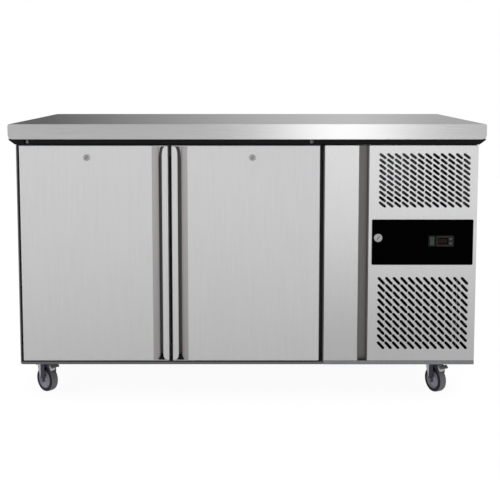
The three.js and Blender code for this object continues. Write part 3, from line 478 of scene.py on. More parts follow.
def back_louvres():
    """Vanes pressed in behind the back panel's air slots, which keep rain and fingers out."""
    face = corners("back_panel")[0].y
    bm = bmesh.new()
    for i in range(9):
        z = 230 + 34 * i
        vane = [(face - 0.2, z + 11), (face - 0.2, z + 12.2), (face - 12, z - 2.6), (face - 11, z - 3.5)]
        prism(bm, vane, "x", 406, 574)
    # The vanes are in the dark steel: painted shade behind the back slots.
    piece("back_louvres", bm, "cabinet", "dull_steel", dull_steel)


back_louvres()


# ---- Storage doors ----

SHEET = 1.5
GRIP_PANEL = 46  # distances from the door's free edge: where the flat front ends,
GRIP_SLOPE = 25.5  # the slope meets the pocket,
GRIP_LIP = 17  # the lip ends
GRIP_WALL = 4  # and the pocket's far wall stands
SLOPE_DEPTH = 10
POCKET_DEPTH = 26
LIP_THICK = 4
DOOR_THICK = 50
DOOR_LOCK_RADIUS = 9


def door_sheet(label, side, low, high, at):
    """Front, slope, pocket and edges as one folded sheet; the upper end has the lock tongue's slot."""
    front, back = low.y, low.y + DOOR_THICK
    width, deep = high.x - low.x, POCKET_DEPTH
    rows = [  # distance from the free edge, depth behind the front, radius
        (width, DOOR_THICK, 0), (width, 0, 4.5), (GRIP_PANEL, 0, 8), (GRIP_SLOPE, SLOPE_DEPTH, 5),
        (GRIP_SLOPE, deep, 3), (GRIP_WALL, deep, 3), (GRIP_WALL, 1, 0), (0, 1, 0), (0, DOOR_THICK, 0),
        (SHEET, DOOR_THICK, 0), (SHEET, deep + SHEET, 0), (GRIP_SLOPE + SHEET, deep + SHEET, 3),
        (GRIP_SLOPE + SHEET, SLOPE_DEPTH + 0.6, 3), (GRIP_PANEL + 0.6, SHEET, 4),
        (width - SHEET, SHEET, 3), (width - SHEET, DOOR_THICK, 0),
    ]
    section = fillet([(at(d), front + depth, radius) for d, depth, radius in rows])
    bm = bmesh.new()
    prism(bm, section, "z", low.z + SHEET * 0.8, high.z - SHEET * 0.8)
    end = fillet([(at(0), back, 0), (at(0), front, 2.5), (at(width), front, 3), (at(width), back, 0)])
    prism(bm, end, "z", low.z, low.z + SHEET)
    lock_low, lock_high = corners(f"{label}_door_lock")
    lock_x = lock_low.x + DOOR_LOCK_RADIUS if side > 0 else lock_high.x - DOOR_LOCK_RADIUS
    ends = sorted((lock_x - side * 7, lock_x + side * 35))
    tongue_slot = rounded_rect(*ends, lock_high.y - 3.9, lock_high.y + 0.9, 1)
    prism(bm, end, "z", high.z - SHEET, high.z, [tongue_slot])
    sheet = piece(f"{label}_door_sheet", bm, f"{label}_door", "stainless", door_steel,
                  [f"{label}_door_skin"], bevel=0.5)
    # The slope's front faces take the darker steel: painted shade in the grip's recess.
    sheet.data.materials.append(recess_steel)
    for face in sheet.data.polygons:
        inwards = side * (at(0) - face.center.x / MM)
        if GRIP_SLOPE - 1 < inwards < GRIP_PANEL and face.normal.y < -0.5:
            face.material_index = 1


def door_lip(label, low, high, at):
    """Hemmed finger lip with ends rounded away, the shoulder, end cap, and a dark plate of painted shade in
    its pocket.
    """
    z0, z1 = low.z + SHEET, high.z - SHEET
    reach, top_rise, bottom_rise = 9, 28, 18
    round_top, round_bottom, shoulder = [], [], []
    for i in range(9):
        angle = math.pi / 2 * i / 8
        inwards, fall = GRIP_LIP - reach * (1 - math.cos(angle)), 1 - math.sin(angle)
        round_top.append((at(inwards), z1 - top_rise * fall))
        round_bottom.append((at(inwards), z0 + bottom_rise * fall))
        shoulder.append((at(inwards + 8.3), z1 - top_rise * fall))
    outline = round_top + [(at(0), z1), (at(0), z0)] + round_bottom[::-1]
    body = f"{label}_door"
    extended(f"{label}_door_lip", outline, "y", low.y, low.y + LIP_THICK, body, "stainless", door_steel,
             bevel=1.3, segments=3, sharp=50)
    corner = [(at(GRIP_SLOPE + 1), z1), (at(GRIP_SLOPE + 1), z1 - top_rise)]
    level = low.y + SLOPE_DEPTH
    # The shoulder under the lip's rounded top is in the same darker steel, painted shade.
    extended(f"{label}_grip_shoulder", corner + shoulder, "y", level, level + 1, body, "stainless",
             recess_steel, bevel=0.4)
    # Black plastic end cap at the pocket's foot, made near-black as painted shade there too.
    outline = fillet([(at(GRIP_SLOPE + 6), z0, 0), (at(GRIP_SLOPE - 3), z0 + 10, 5),
                      (at(GRIP_WALL), z0 + 10, 0), (at(GRIP_WALL), z0, 0)])
    extended(f"{label}_grip_end_cap", outline, "y", low.y + LIP_THICK + 0.6, low.y + POCKET_DEPTH - 0.6,
             body, "black_plastic", hole_shade_black, bevel=0.5)
    # A thin dark plate along the pocket's floor and far wall paints the shade behind the lip.
    slope, wall, shallow, deep, thin = GRIP_SLOPE, GRIP_WALL, SLOPE_DEPTH + 1.2, POCKET_DEPTH, 0.4
    shade_plate = [(slope, shallow), (slope, deep), (wall, deep), (wall, LIP_THICK + 0.8),
              (wall + thin, LIP_THICK + 0.8), (wall + thin, deep - thin), (slope - thin, deep - thin),
              (slope - thin, shallow)]
    outline = [(at(d), low.y + depth) for d, depth in shade_plate]
    extended(f"{label}_grip_pocket_shade", outline, "z", z0, z1, body, "dull_steel", pocket_steel)


def door_inside(label):
    """Raised border of the moulded inner face, and the gasket's bellows."""
    low, high = corners(f"{label}_door_gasket")
    keep(white_plastic, f"{label}_door_liner", bevel=1.2)
    liner_face = corners(f"{label}_door_liner")[1].y
    bm = bmesh.new()
    raised = [(0, 0), (0, 1.6), (2, 3), (7, 3), (10, 0.6), (10, 0)]
    section = [(inset, liner_face + rise - 0.2) for inset, rise in raised]
    border(bm, section, low.x + 34, high.x - 34, low.z + 38, high.z - 38)
    piece(f"{label}_door_inner_border", bm, f"{label}_door", "door_inner", white_plastic, bevel=0.6)
    depth = high.y - low.y
    bellows = [(0, 0), (0, 0.3), (3, 0.42), (0, 0.56), (0, 0.94), (1, 1), (13, 1), (14, 0.94),
               (14, 0.56), (11, 0.42), (14, 0.3), (14, 0)]
    bm = bmesh.new()
    border(bm, [(inset, low.y + depth * t) for inset, t in bellows], low.x, high.x, low.z, high.z)
    piece(f"{label}_gasket_bellows", bm, f"{label}_door", "gasket", gasket_rubber,
          [f"{label}_door_gasket"], bevel=0.4)


def key_lock(label, radius, barrel):
    """Bezel, plug with its keyway, barrel and tongue of a key lock that turns about Y."""
    body, slot = f"{label}_lock", "zinc"
    node = f"{label}_door_lock"
    low, high = corners(node)
    x = high.x - radius if label == "right" else low.x + radius
    z = high.z - radius if label == "machine" else low.z + radius
    y = low.y
    plug = radius * 0.6
    bezel = [(plug + 0.3, y + 0.6), (plug + 0.7, y), (radius - 1.2, y), (radius, y + 1.2),
             (radius, y + 3), (plug + 0.3, y + 3)]
    turned(f"{label}_lock_bezel", bezel, "y", x, z, 40, body, slot, lock_metal, [node], closed=True)
    lean, reach = math.radians(55), plug * 0.7
    run, rise = reach * math.cos(lean), reach * math.sin(lean)
    keyway = capsule(x - run, z - rise, x + run, z + rise, 2.2, 3)
    extended(f"{label}_lock_plug", circle(x, z, plug, 36), "y", y + 0.5, y + 2.4, body, slot, lock_metal,
             holes=[keyway], bevel=0.2)
    rod = [(0, y + 2.4), (barrel, y + 2.4), (barrel, high.y - 3), (0, high.y - 3)]
    # The barrel seen through the keyway is near-black: painted shade inside the lock.
    turned(f"{label}_lock_barrel", rod, "y", x, z, 28, body, slot, hole_shade_black)
    bm = bmesh.new()
    wide = 7 if label == "machine" else 6
    tips = {"left": (high.x - wide, z), "right": (low.x + wide, z), "machine": (x, low.z + wide)}
    tip = tips[label]
    prism(bm, capsule(x, z, *tip, 2 * wide, 8), "y", high.y - 3, high.y)
    prism(bm, circle(x, z, 4.5, 6), "y", high.y - 0.2, high.y + 2.5)
    piece(f"{label}_lock_tongue", bm, body, slot, zinc, bevel=0.4)


def hinge_cap(label, x, y):
    """Light cap over the upper hinge pin, standing in its notch of the rail."""
    top = corners(f"{label}_hinge_top")[1].z
    base = top - 11
    profile = [(0, base), (5.4, base), (6.8, base + 1.6), (6.8, top + 0.4), (0, top + 0.7)]
    turned(f"{label}_hinge_cap", profile, "z", x, y, 28, "cabinet", "zinc", cap_grey)


def storage_door(label, side):
    """All of one storage door; side is 1 where its free edge is at the right, or else -1."""
    low, high = corners(f"{label}_door_skin")
    free = high.x if side > 0 else low.x
    at = lambda inwards: free - side * inwards
    door_sheet(label, side, low, high, at)
    door_lip(label, low, high, at)
    door_inside(label)
    key_lock(label, DOOR_LOCK_RADIUS, 8)
    hinge_cap(label, middle(f"{label}_hinge_top").x, low.y + 14)


storage_door("left", 1)
storage_door("right", -1)


# ---- Machine compartment door ----

SLOT_FIELDS = (  # x and z of the first slot's start, pitch of the rows, a slot's run, drop and width
    (382, 722.6, 15.5, 13.4, 10.4, 8.1),
    (381.6, 362.4, 21.2, 14.6, 15.6, 8.5),
)
SLOT_COLUMNS = 12
SLOT_ROWS = 10
SLOT_PITCH_X = 21.9


def slot_holes():
    """Slanted capsules in columns and rows, for both fields."""
    holes = []
    for x0, z0, pitch, run, drop, width in SLOT_FIELDS:
        for x in (x0 + column * SLOT_PITCH_X for column in range(SLOT_COLUMNS)):
            for z in (z0 - row * pitch for row in range(SLOT_ROWS)):
                holes.append(capsule(x, z, x + run, z - drop, width))
    return holes


def machine_door_sheet():
    """Front sheet with two fields of air slots and the control window, and folded edges."""
    low, high = corners("machine_door_skin")
    window = upright_rect(*corners("control_plate"), 4, 2)
    radius = 2
    bm = bmesh.new()
    outline = rounded_rect(low.x + radius, high.x - radius, low.z + 0.6, high.z - 0.6, 0.5, 2)
    prism(bm, outline, "y", low.y, low.y + SHEET, slot_holes() + [window])
    bend = [(1 - math.sin(a), 1 - math.cos(a)) for a in (math.pi / 8 * k for k in range(5))]
    for edge, way in ((low.x, 1), (high.x, -1)):
        outer = [(edge + way * radius * u, low.y + radius * v) for u, v in bend] + [(edge, high.y)]
        inner = [(edge + way * SHEET, high.y), (edge + way * SHEET, low.y + radius),
                 (edge + way * radius, low.y + SHEET)]
        prism(bm, outer + inner, "z", low.z, high.z)
    for z0, z1 in ((low.z, low.z + SHEET), (high.z - SHEET, high.z)):
        block(bm, low.x + SHEET, high.x - SHEET, low.y + 0.2, high.y, z0, z1)
    piece("machine_door_sheet", bm, "machine_door", "stainless", panel_steel, ["machine_door_skin"])


def control_panel():
    """Gloss fascia with its cut-outs, the wiring box behind it and the switch's frame."""
    low, high = corners("control_plate")
    meter_low, meter_high = corners("thermostat")
    key_low, key_high = corners("rocker")
    lock_low, lock_high = corners("machine_door_lock")
    front = low.y + 2.2
    lock_x, lock_z = lock_low.x + 12, lock_high.z - 12
    edge = 3
    switch = (key_low.x - edge - 0.5, key_high.x + edge + 0.5, meter_low.z, meter_high.z)
    holes = [
        circle(lock_x, lock_z, 10.8),
        rounded_rect(switch[0] + 1, switch[1] - 1, switch[2] + 1, switch[3] - 1, 1),
        upright_rect(meter_low, meter_high, 1.6, 1),
    ]
    extended("control_fascia", upright_rect(low, high, 0, 3), "y", front, front + 1.5,
             "machine_door", "control_gloss", gloss_black, ["control_plate"], holes, bevel=0.4)
    bm = bmesh.new()
    x0, x1, z0, z1 = low.x + 40.6, high.x - 11.6, low.z + 8, high.z - 8.4
    box_front, box_back = front + 1.5, high.y
    border(bm, [(0, box_front), (0, box_back), (2, box_back), (2, box_front)], x0, x1, z0, z1)
    for x in (x0 + 60, x0 + 120, x0 + 180):
        for z in (z0, z1 - 7):
            block(bm, x, x + 2, box_front, box_back - 4, z, z + 7)
    piece("control_box", bm, "machine_door", "black_plastic", frame_dark, bevel=0.3)
    bm = bmesh.new()
    frame_section = [(0, front), (0, low.y + 0.7), (0.7, low.y), (2.2, low.y), (3, low.y + 0.8),
                     (3, front + 15), (1.2, front + 15), (1.2, front)]
    border(bm, frame_section, *switch)
    block(bm, switch[0] + 2, switch[1] - 2, front + 15, front + 17.5, switch[2] + 2, switch[3] - 2)
    piece("rocker_frame", bm, "machine_door", "black_plastic", bezel_grey, bevel=0.15)


STROKES = (  # of a digit with seven segments, in half cells: x0, z0, x1, z1
    (0, 2, 1, 2), (0, 1, 1, 1), (0, 0, 1, 0), (0, 1, 0, 2), (1, 1, 1, 2), (0, 0, 0, 1), (1, 0, 1, 1),
)


def thermostat():
    """Bezel with its display window and button wells, the dark display and the body behind."""
    low, high = corners("thermostat")
    x0, x1, z0, z1 = low.x + 5.5, high.x - 15.5, low.z + 6, high.z - 6
    holes = [rounded_rect(x0, x1, z0, z1, 1.2)]
    holes += [upright_rect(*corners(button), -0.35, 0.8, 3) for button in ("button_lower", "button_upper")]
    extended("thermostat_bezel", upright_rect(low, high, 0, 2.5), "y", low.y, low.y + 2.3, "machine_door",
             "bezel", bezel_grey, ["thermostat"], holes, bevel=0.5)
    pane = rounded_rect(x0 + 0.1, x1 - 0.1, z0 + 0.1, z1 - 0.1, 1)
    extended("thermostat_display", pane, "y", low.y + 1.1, low.y + 2.2, "machine_door", "control_gloss",
             display_glass, bevel=0.2)
    bm = bmesh.new()
    cell, stroke, gap = 5.2, 1.1, 0.5
    bottom = (z0 + z1) / 2 - cell
    for digit in range(3):
        left = x0 + 3.4 + digit * (cell + 3)
        for u0, v0, u1, v1 in STROKES:
            a = (left + u0 * cell + gap * (v0 == v1), bottom + v0 * cell + gap * (u0 == u1))
            b = (left + u1 * cell - gap * (v0 == v1), bottom + v1 * cell - gap * (u0 == u1))
            prism(bm, capsule(*a, *b, stroke, 2), "y", low.y + 1.0, low.y + 1.2)
    piece("thermostat_digits", bm, "machine_door", "control_gloss", display_segment)
    bm = bmesh.new()
    block(bm, low.x + 2, high.x - 2, low.y + 2.3, high.y, low.z + 2, high.z - 2)
    for k in range(6):
        x = low.x + 8 + k * 6.4
        block(bm, x, x + 3, high.y - 0.2, high.y + 1.6, low.z + 8, low.z + 13)
    piece("thermostat_body", bm, "machine_door", "black_plastic", machine_black, bevel=0.5)


machine_door_sheet()
control_panel()
thermostat()
key_lock("machine", 12, 10)
keep(switch_green, "rocker", bevel=0.9)
keep(button_grey, "button_lower", "button_upper", bevel=0.7)


# ---- Storage space ----


def wire_shelf(label):
    """Welded shelf of round wires with rounded outer corners."""
    low, high = corners(f"shelf_{label}")
    bar, wire, wires = 3, 1.6, 22
    z = low.z + bar
    x0, x1, y0, y1 = low.x + bar, high.x - bar, low.y + bar, high.y - bar
    bm = bmesh.new()
    outline = rounded_rect(x0, x1, y0, y1, 14, 6)
    tube(bm, [(x, y, z) for x, y in outline], bar, 10, closed=True)
    for y in (y0 + (y1 - y0) * t for t in (0.25, 0.5, 0.75)):
        tube(bm, [(x0, y, z), (x1, y, z)], bar - 0.6, 8)
    top = z + bar + wire - 1.2
    for i in range(1, wires + 1):
        x = x0 + (x1 - x0) * i / (wires + 1)
        path = [(x, y0, z + 1), (x, y0 + 0.5, top), (x, y1 - 0.5, top), (x, y1, z + 1)]
        tube(bm, bent(path, 2, 2), wire, 6)
    piece(f"shelf_{label}_wires", bm, "cabinet", "zinc", chrome, [f"shelf_{label}"], sharp=60)


wire_shelf("left")
wire_shelf("right")


def fan_wheel(name, body, axis, hub_radius, depth, blades=5):
    """Axial fan with twisted, curved blades on a domed hub."""
    low, high = corners(name)
    radius = (high.z - low.z) / 2
    bm = bmesh.new()
    across, along = 8, 6
    for blade in range(blades):
        grid = []
        for i in range(across + 1):
            t = i / across
            r = hub_radius - 2 + (radius + 1 - hub_radius) * t
            sweep = math.radians(26 + 22 * t)
            pitch = math.radians(42 - 20 * t)
            row = []
            for k in range(along + 1):
                s = k / along - 0.5
                angle = TURN * blade / blades + sweep * s * 1.5 + 0.25 * t
                height = -s * depth * math.sin(pitch) * 2.0 + 1.6 * math.cos(math.pi * s)
                row.append(bm.verts.new((r * math.cos(angle), height, r * math.sin(angle))))
            grid.append(row)
        for a, b in zip(grid, grid[1:]):
            for k in range(along):
                bm.faces.new([a[k], a[k + 1], b[k + 1], b[k]])
    bmesh.ops.solidify(bm, geom=bm.faces[:], thickness=1.2)
    half = depth / 2
    hub = [(0, -half), (hub_radius * 0.75, -half), (hub_radius, -half + 3), (hub_radius, half - 1),
           (hub_radius - 1, half), (0, half)]
    lathe(bm, hub, "y", 0, 0, 28)
    turn = Matrix.Rotation(math.pi / 2, 4, "Z") if axis == "x" else Matrix.Identity(4)
    move = Matrix.Translation(middle(name)) @ turn
    piece(f"{name}_wheel", bm, body, "aluminium", aluminium, [name], sharp=50, move=move)


def fan_guard(name, centre, radius, axis, level, bulge, rings=6, spokes=6):
    """Wire guard of concentric rings on spokes, bulging along its axis."""
    u, v = centre
    place = PLACE[axis]
    height = lambda t: level + bulge * (1 - t * t)
    bm = bmesh.new()
    for i in range(rings):
        t = (i + 1) / rings
        path = [place(a, b, height(t)) for a, b in circle(u, v, radius * t, 40)]
        tube(bm, path, 1.1, 6, closed=True)
    for k in range(spokes):
        angle = TURN * k / spokes
        path = []
        for i in range(5):
            t = 1 / rings + (1 + 0.06 - 1 / rings) * i / 4
            r = radius * t
            path.append(place(u + r * math.cos(angle), v + r * math.sin(angle), height(t)))
        tube(bm, path, 1.3, 6)
    piece(name, bm, "cabinet", "zinc", zinc, sharp=60)


def finned_coil(name, axis, pitch, tube_rows, finish, pipes, tube_columns=2):
    """Block of thin fins across an axis, with rows of tubes whose bends show past the end plates."""
    low, high = corners(f"{name}_coil")
    spans = list(zip(low, high))[:2]
    (first, last), (near, far) = spans if axis == "x" else reversed(spans)
    margin, rim, sheet = 4, 3, 2.4
    first, last, near, far = first + margin, last - margin, near + rim, far - rim
    bottom = low.z + (19.5 if axis == "x" else margin)
    top = high.z - margin
    fin = [(near, bottom), (far, bottom), (far, top), (near, top)]
    bm = bmesh.new()
    for i in range(int((last - first) / pitch) + 1):
        prism(bm, fin, axis, first + i * pitch, first + i * pitch + 0.5)
    piece(f"{name}_fins", bm, "cabinet", "aluminium", finish, [f"{name}_coil"])
    plate = [(near - rim, low.z), (far + rim, low.z), (far + rim, high.z), (near - rim, high.z)]
    bm = bmesh.new()
    for level in (first - margin, last + margin - sheet):
        prism(bm, plate, axis, level, level + sheet)
    piece(f"{name}_end_plates", bm, "cabinet", "aluminium", galvanised, bevel=0.3)
    bm = bmesh.new()
    rise = (top - bottom) / tube_rows
    place = PLACE[axis]
    for column in range(tube_columns):
        u = near + (far - near) * (column + 0.5) / tube_columns
        for row in range(tube_rows):
            z = bottom + rise * (row + 0.5)
            tube(bm, [place(u, z, first - 3), place(u, z, last + 3)], 4, 8)
            if row % 2 == 0 and row + 1 < tube_rows:
                bend = [place(u, z, last + 2.5)]
                bend += [
                    place(u, z + rise / 2 - rise / 2 * math.cos(a), last + 3 + 2.6 * math.sin(a))
                    for a in (math.pi * k / 8 for k in range(1, 8))
                ]
                bend += [place(u, z + rise, last + 2.5)]
                tube(bm, bend, 3.6, 8)
    piece(f"{name}_tubes", bm, "cabinet", "aluminium", pipes, sharp=60)


blower = middle("evaporator_fan")
fan_wheel("evaporator_fan", "cold_air_fan", "x", 18, 16)
fan_guard("evaporator_fan_guard", (blower.y, blower.z), 84, "x", cover_face - 2, -9)
finned_coil("evaporator", "y", 6, 12, aluminium, copper)


# ---- Condensing unit ----

cooler = middle("condenser_fan")
fan_wheel("condenser_fan", "cooling_fan", "y", 24, 24)
finned_coil("condenser", "x", 4.2, 10, fin_black, fin_black)
keep(machine_black, "fan_shroud", bevel=0.6)
fan_guard("condenser_fan_guard", (cooler.x, cooler.z), 102, "y", cooler.y + 24, 0, rings=7)


POT_RAISED = 14


def compressor():
    """Pressed pot with its weld flange, terminal cover, feet and rubber pads."""
    low, high = corners("compressor")
    x, y, _ = middle("compressor")
    base, top = low.z + POT_RAISED, high.z
    profile = [(0, base), (50, base), (64, base + 5), (74, base + 18), (78, base + 40), (78, base + 70),
               (82, base + 72), (83, base + 75), (83, base + 79), (82, base + 82), (78, base + 84),
               (78, base + 120), (76, base + 140), (69, base + 158), (54, base + 170), (28, base + 176),
               (0, top)]
    bm = bmesh.new()
    lathe(bm, profile, "z", x, y, 48)
    prism(bm, rounded_rect(low.x, high.x, y - 50, y + 50, 14), "z", low.z + 8, low.z + 11)
    for way in (-1, 1):
        block(bm, x + way * 52 - 5, x + way * 52 + 5, y - 34, y + 34, low.z + 10, low.z + 18)
    piece("compressor_pot", bm, "cabinet", "machine_paint", machine_black, ["compressor"], sharp=45)
    bm = bmesh.new()
    for px in (low.x + 12, high.x - 12):
        for py in (y - 38, y + 38):
            lathe(bm, [(0, low.z), (8, low.z), (9.5, low.z + 2), (7.5, low.z + 4), (9.5, low.z + 6),
                       (9, low.z + 8), (0, low.z + 8)], "z", px, py, 18)
    piece("compressor_pads", bm, "cabinet", "black_plastic", gasket_rubber)
    bm = bmesh.new()
    block(bm, x - 24, x + 24, y - 96, y - 74, base + 90, base + 140)
    piece("compressor_terminal_cover", bm, "cabinet", "black_plastic", frame_dark, bevel=3, segments=3)


def refrigerant_pipes():
    """Drier and copper pipes between pot, condenser and evaporator, and the suction pipe's foam."""
    x, y, _ = middle("compressor")
    base = corners("compressor")[0].z + POT_RAISED
    bm = bmesh.new()
    drier = [(4, 300), (11, 292), (14, 280), (14, 210), (11, 198), (4, 190)]
    lathe(bm, [(0, 300)] + drier + [(0, 190)], "z", 352, -60, 24)
    coil = corners("condenser_coil")[1]
    side = coil.x - 30
    paths = [
        [(x + 60, y - 50, base + 150), (x + 84, y - 70, base + 175), (side, y - 110, 372),
         (side, coil.y + 30, 400), (side, coil.y - 18, 396), (side, coil.y - 18, 378)],
        [(352, -60, 298), (352, -60, 330), (352, -150, 360), (378, coil.y - 18, 396),
         (378, coil.y - 18, 378)],
        [(352, -60, 192), (352, -60, 160), (326, -20, 150)],
    ]
    for path in paths:
        tube(bm, bent(path, 16, 5), 3.2, 10)
    piece("copper_pipes", bm, "cabinet", "aluminium", copper, sharp=60)
    bm = bmesh.new()
    suction = [(x - 70, y + 20, base + 120), (x - 100, y + 20, base + 130), (350, y, 340),
               (326, y - 10, 350)]
    tube(bm, bent(suction, 20, 5), 9, 14)
    piece("suction_pipe_foam", bm, "cabinet", "black_plastic", pipe_foam, sharp=60)


compressor()
refrigerant_pipes()


def cable_gland():
    """Hexagon, domed nut and sleeve through the back panel, with the lock nut inside."""
    low, high = corners("cable_gland")
    x, _, z = middle("cable_gland")
    face = corners("back_panel")[1].y
    bm = bmesh.new()
    prism(bm, circle(x, z, 13, 6), "y", face + 0.4, face + 6, [circle(x, z, 5, 6)])
    dome = [(4.6, face + 5), (10.4, face + 5), (10.2, face + 9), (8.4, face + 12), (6.2, high.y),
            (4.6, high.y)]
    lathe(bm, dome, "y", x, z, 28, closed=True)
    lathe(bm, [(4.6, low.y), (8, low.y), (8, face + 1), (4.6, face + 1)], "y", x, z, 28, closed=True)
    prism(bm, circle(x, z, 12, 6), "y", low.y + 3, face - 1.9, [circle(x, z, 7, 6)])
    piece("gland_nut", bm, "cabinet", "black_plastic", frame_dark, ["cable_gland"], bevel=0.5)


cable_gland()


# ---- Casters ----

CASTER_YAW = {"front_left": -42, "front_right": -63, "back_left": -54, "back_right": -54}
CASTER_TRAIL = 20
WHEEL_RADIUS = 37.5


def caster_maker(label, body, place):
    """Gives a function that makes one caster body's pieces, drawn with the wheel trailing along +X."""
    move = Matrix.Translation(place) @ Matrix.Rotation(math.radians(CASTER_YAW[label]), 4, "Z")

    def make(part, bm, material, node="", slot="zinc", **more):
        replaced = [f"caster_{node}_{label}"] if node else []
        piece(f"caster_{part}_{label}", bm, f"{body}_{label}", slot, material, replaced, move=move, **more)

    return make


def ring(profile, sides):
    """A closed profile turned round the wheel's axle."""
    bm = bmesh.new()
    lathe(bm, profile, "y", 0, 0, sides, closed=True)
    return bm


def caster_wheel(label, axle):
    """Tyre, tread, two hub webs, and the bearing, turned about the axle."""
    make = caster_maker(label, "wheel", axle)
    r, half = WHEEL_RADIUS, 12.5
    core = [(26, -10), (28, -half), (r - 2.7, -half), (r - 1.3, -half + 1.1), (r - 1.1, -half + 2.5)]
    core += [(radius, -y) for radius, y in reversed(core)]
    make("tyre", ring(core, 56), tyre_rubber, "wheel", "tyre")
    tread = [(r - 2.4, -10.4), (r - 0.9, -9.8), (r, -7.6), (r + 0.1, -3)]
    tread += [(radius, -y) for radius, y in reversed(tread)]
    # The tread is a lighter grey than the sides: painted light.
    make("tread", ring(tread, 56), tread_grey, slot="tyre")
    bm = bmesh.new()
    for way in (-1, 1):
        side = [(4.8, 13.4), (9, 13.4), (11, 10.5), (16, 8), (22, 8.6), (25.2, 11.8), (26.4, 11.6),
                (26.4, 0), (4.8, 0)]
        lathe(bm, [(radius, way * y) for radius, y in side], "y", 0, 0, 44, closed=True)
    make("hub", bm, hub_grey)
    make("bearing", ring([(4.8, -14.5), (7.5, -14.5), (7.5, 14.5), (4.8, 14.5)], 24), chrome, bevel=0.3)


def caster_fork(label, swivel):
    """Two legs with a bright leading flange; the legs' inner plates, the crown, a seal and an apron drawn
    dark as painted shade under the mounting plate; and the axle.
    """
    make = caster_maker(label, "swivel", (swivel.x, swivel.y, 0))
    axle_x, axle_z = CASTER_TRAIL, WHEEL_RADIUS
    foot = axle_z - 8
    flange = fillet([(-15, 94, 0), (-13, 85, 3), (-3, 79, 6), (0, 66, 8), (5, 56, 6), (11.5, 43, 0),
                     (11.5, 94, 0)])
    plate = fillet([(11, 94, 0), (11, 44, 3), (axle_x - 7, foot, 6), (axle_x + 6, foot, 6),
                    (axle_x + 7.5, 45, 8), (29, 60, 8), (29, 94, 0)])
    bm = bmesh.new()
    for y0, y1 in ((-18.8, -16.2), (16.2, 18.8)):
        prism(bm, flange, "y", y0, y1)
    make("legs", bm, zinc, "fork", bevel=0.6)
    bm = bmesh.new()
    for y0, y1 in ((-18.4, -16), (16, 18.4)):
        prism(bm, plate, "y", y0, y1)
    block(bm, -14, -11, -16, 16, 76, 90)
    lathe(bm, [(0, 77.5), (11, 77.5), (15, 80), (15, 89), (0, 89)], "z", 0, 0, 28)
    crown = [(5.8, 89), (20, 89), (25, 90.4), (25.6, 92), (25, 95), (5.8, 95)]
    lathe(bm, crown, "z", 0, 0, 40, closed=True)
    # Plates, apron block, seal and crown ring are one dark piece: painted shade.
    make("crown", bm, shadow_zinc, bevel=0.5)
    # The axle, nuts and washers are in the darkened zinc: painted shade under the fork.
    bm = bmesh.new()
    lathe(bm, [(0, -22), (4, -22), (4, 22), (0, 22)], "y", axle_x, axle_z, 16)
    for y0, y1 in ((-23, -19.4), (19.4, 22.6)):
        prism(bm, circle(axle_x, axle_z, 7, 6), "y", y0, y1)
    for y0, y1 in ((-19.5, -18.4), (18.4, 19.5)):
        lathe(bm, [(0, y0), (8, y0), (8, y1), (0, y1)], "y", axle_x, axle_z, 24)
    make("axle", bm, axle_zinc, bevel=0.4)


def caster_plate(label, swivel):
    """Mounting plate with rounded corners and four bolts, raceway and kingpin nut."""
    low, high = corners(f"caster_plate_{label}")
    x, y = swivel.x, swivel.y
    top = high.z
    bm = bmesh.new()
    prism(bm, rounded_rect(low.x, high.x, low.y, high.y, 7), "z", top - 3, top)
    lathe(bm, [(18, 95.6), (24, 95.6), (26, 97), (26, 99.6), (23, top - 2.6), (18, top - 2.6)],
          "z", x, y, 40, closed=True)
    lathe(bm, [(0, 84.6), (5, 84.6), (5, top - 3), (0, top - 3)], "z", x, y, 16)
    prism(bm, circle(x, y, 9, 6), "z", 83.6, 88.2)
    for dx in (-31, 31):
        for dy in (-23, 23):
            prism(bm, circle(x + dx, y + dy, 6, 6), "z", top - 7, top - 2.8)
    piece(f"caster_mount_{label}", bm, "cabinet", "zinc", zinc, [f"caster_plate_{label}"], bevel=0.5)


def caster_brake(label, swivel):
    """Pedal with its root and shoe drawn dark as painted shade, bright stem over the tyre and ribbed foot
    pad.
    """
    make = caster_maker(label, "brake", (swivel.x, swivel.y, 0))
    bm = bmesh.new()
    root = fillet([(12, 86, 1), (12, 80.5, 1), (30, 77.5, 3), (43, 74, 1), (45, 76, 1), (44, 86, 1),
                   (30, 87, 2)])
    prism(bm, root, "y", -12, 12)
    shoe = fillet([(42, 84, 1), (42, 73, 1), (53, 64.5, 2), (56, 66, 1), (55, 74, 2), (52, 85, 1)])
    prism(bm, shoe, "y", 2.4, 7)
    tube(bm, [(26, -15.6, 82), (26, 15.6, 82)], 4, 14)
    # Root, shoe and cross tube are in the dark zinc: painted shade under the pedal.
    make("brake_root", bm, shadow_zinc, bevel=0.9)
    bm = bmesh.new()
    stem = fillet([(43, 87, 1), (43, 83, 1), (49, 72, 2), (53, 69, 2), (57, 70.5, 2), (57, 77, 2),
                   (51, 87, 1)])
    prism(bm, stem, "y", -11, 2)
    make("lever", bm, zinc, "brake", bevel=0.9)
    bm = bmesh.new()
    pad = fillet([(50, 87, 1), (51, 82.5, 1), (61, 78.5, 1), (62.5, 81, 1), (54, 88.5, 3)])
    prism(bm, pad, "y", -14, 14)
    for k in range(3):
        x = 55.5 + k * 2.6
        z = 88.2 - (x - 54) * 0.76
        tube(bm, [(x, -11, z), (x, 11, z)], 0.8, 6)
    make("pedal", bm, pedal_grey, bevel=0.7)


for corner in ("front_left", "front_right", "back_left", "back_right"):
    swivel_at = middle(f"caster_plate_{corner}")
    axle_at = middle(f"caster_wheel_{corner}")
    caster_wheel(corner, Vector((axle_at.x, axle_at.y, WHEEL_RADIUS)))
    caster_fork(corner, swivel_at)
    caster_plate(corner, swivel_at)
    if corner.startswith("front"):
        caster_brake(corner, swivel_at)


# ---- Floor, light and camera ----


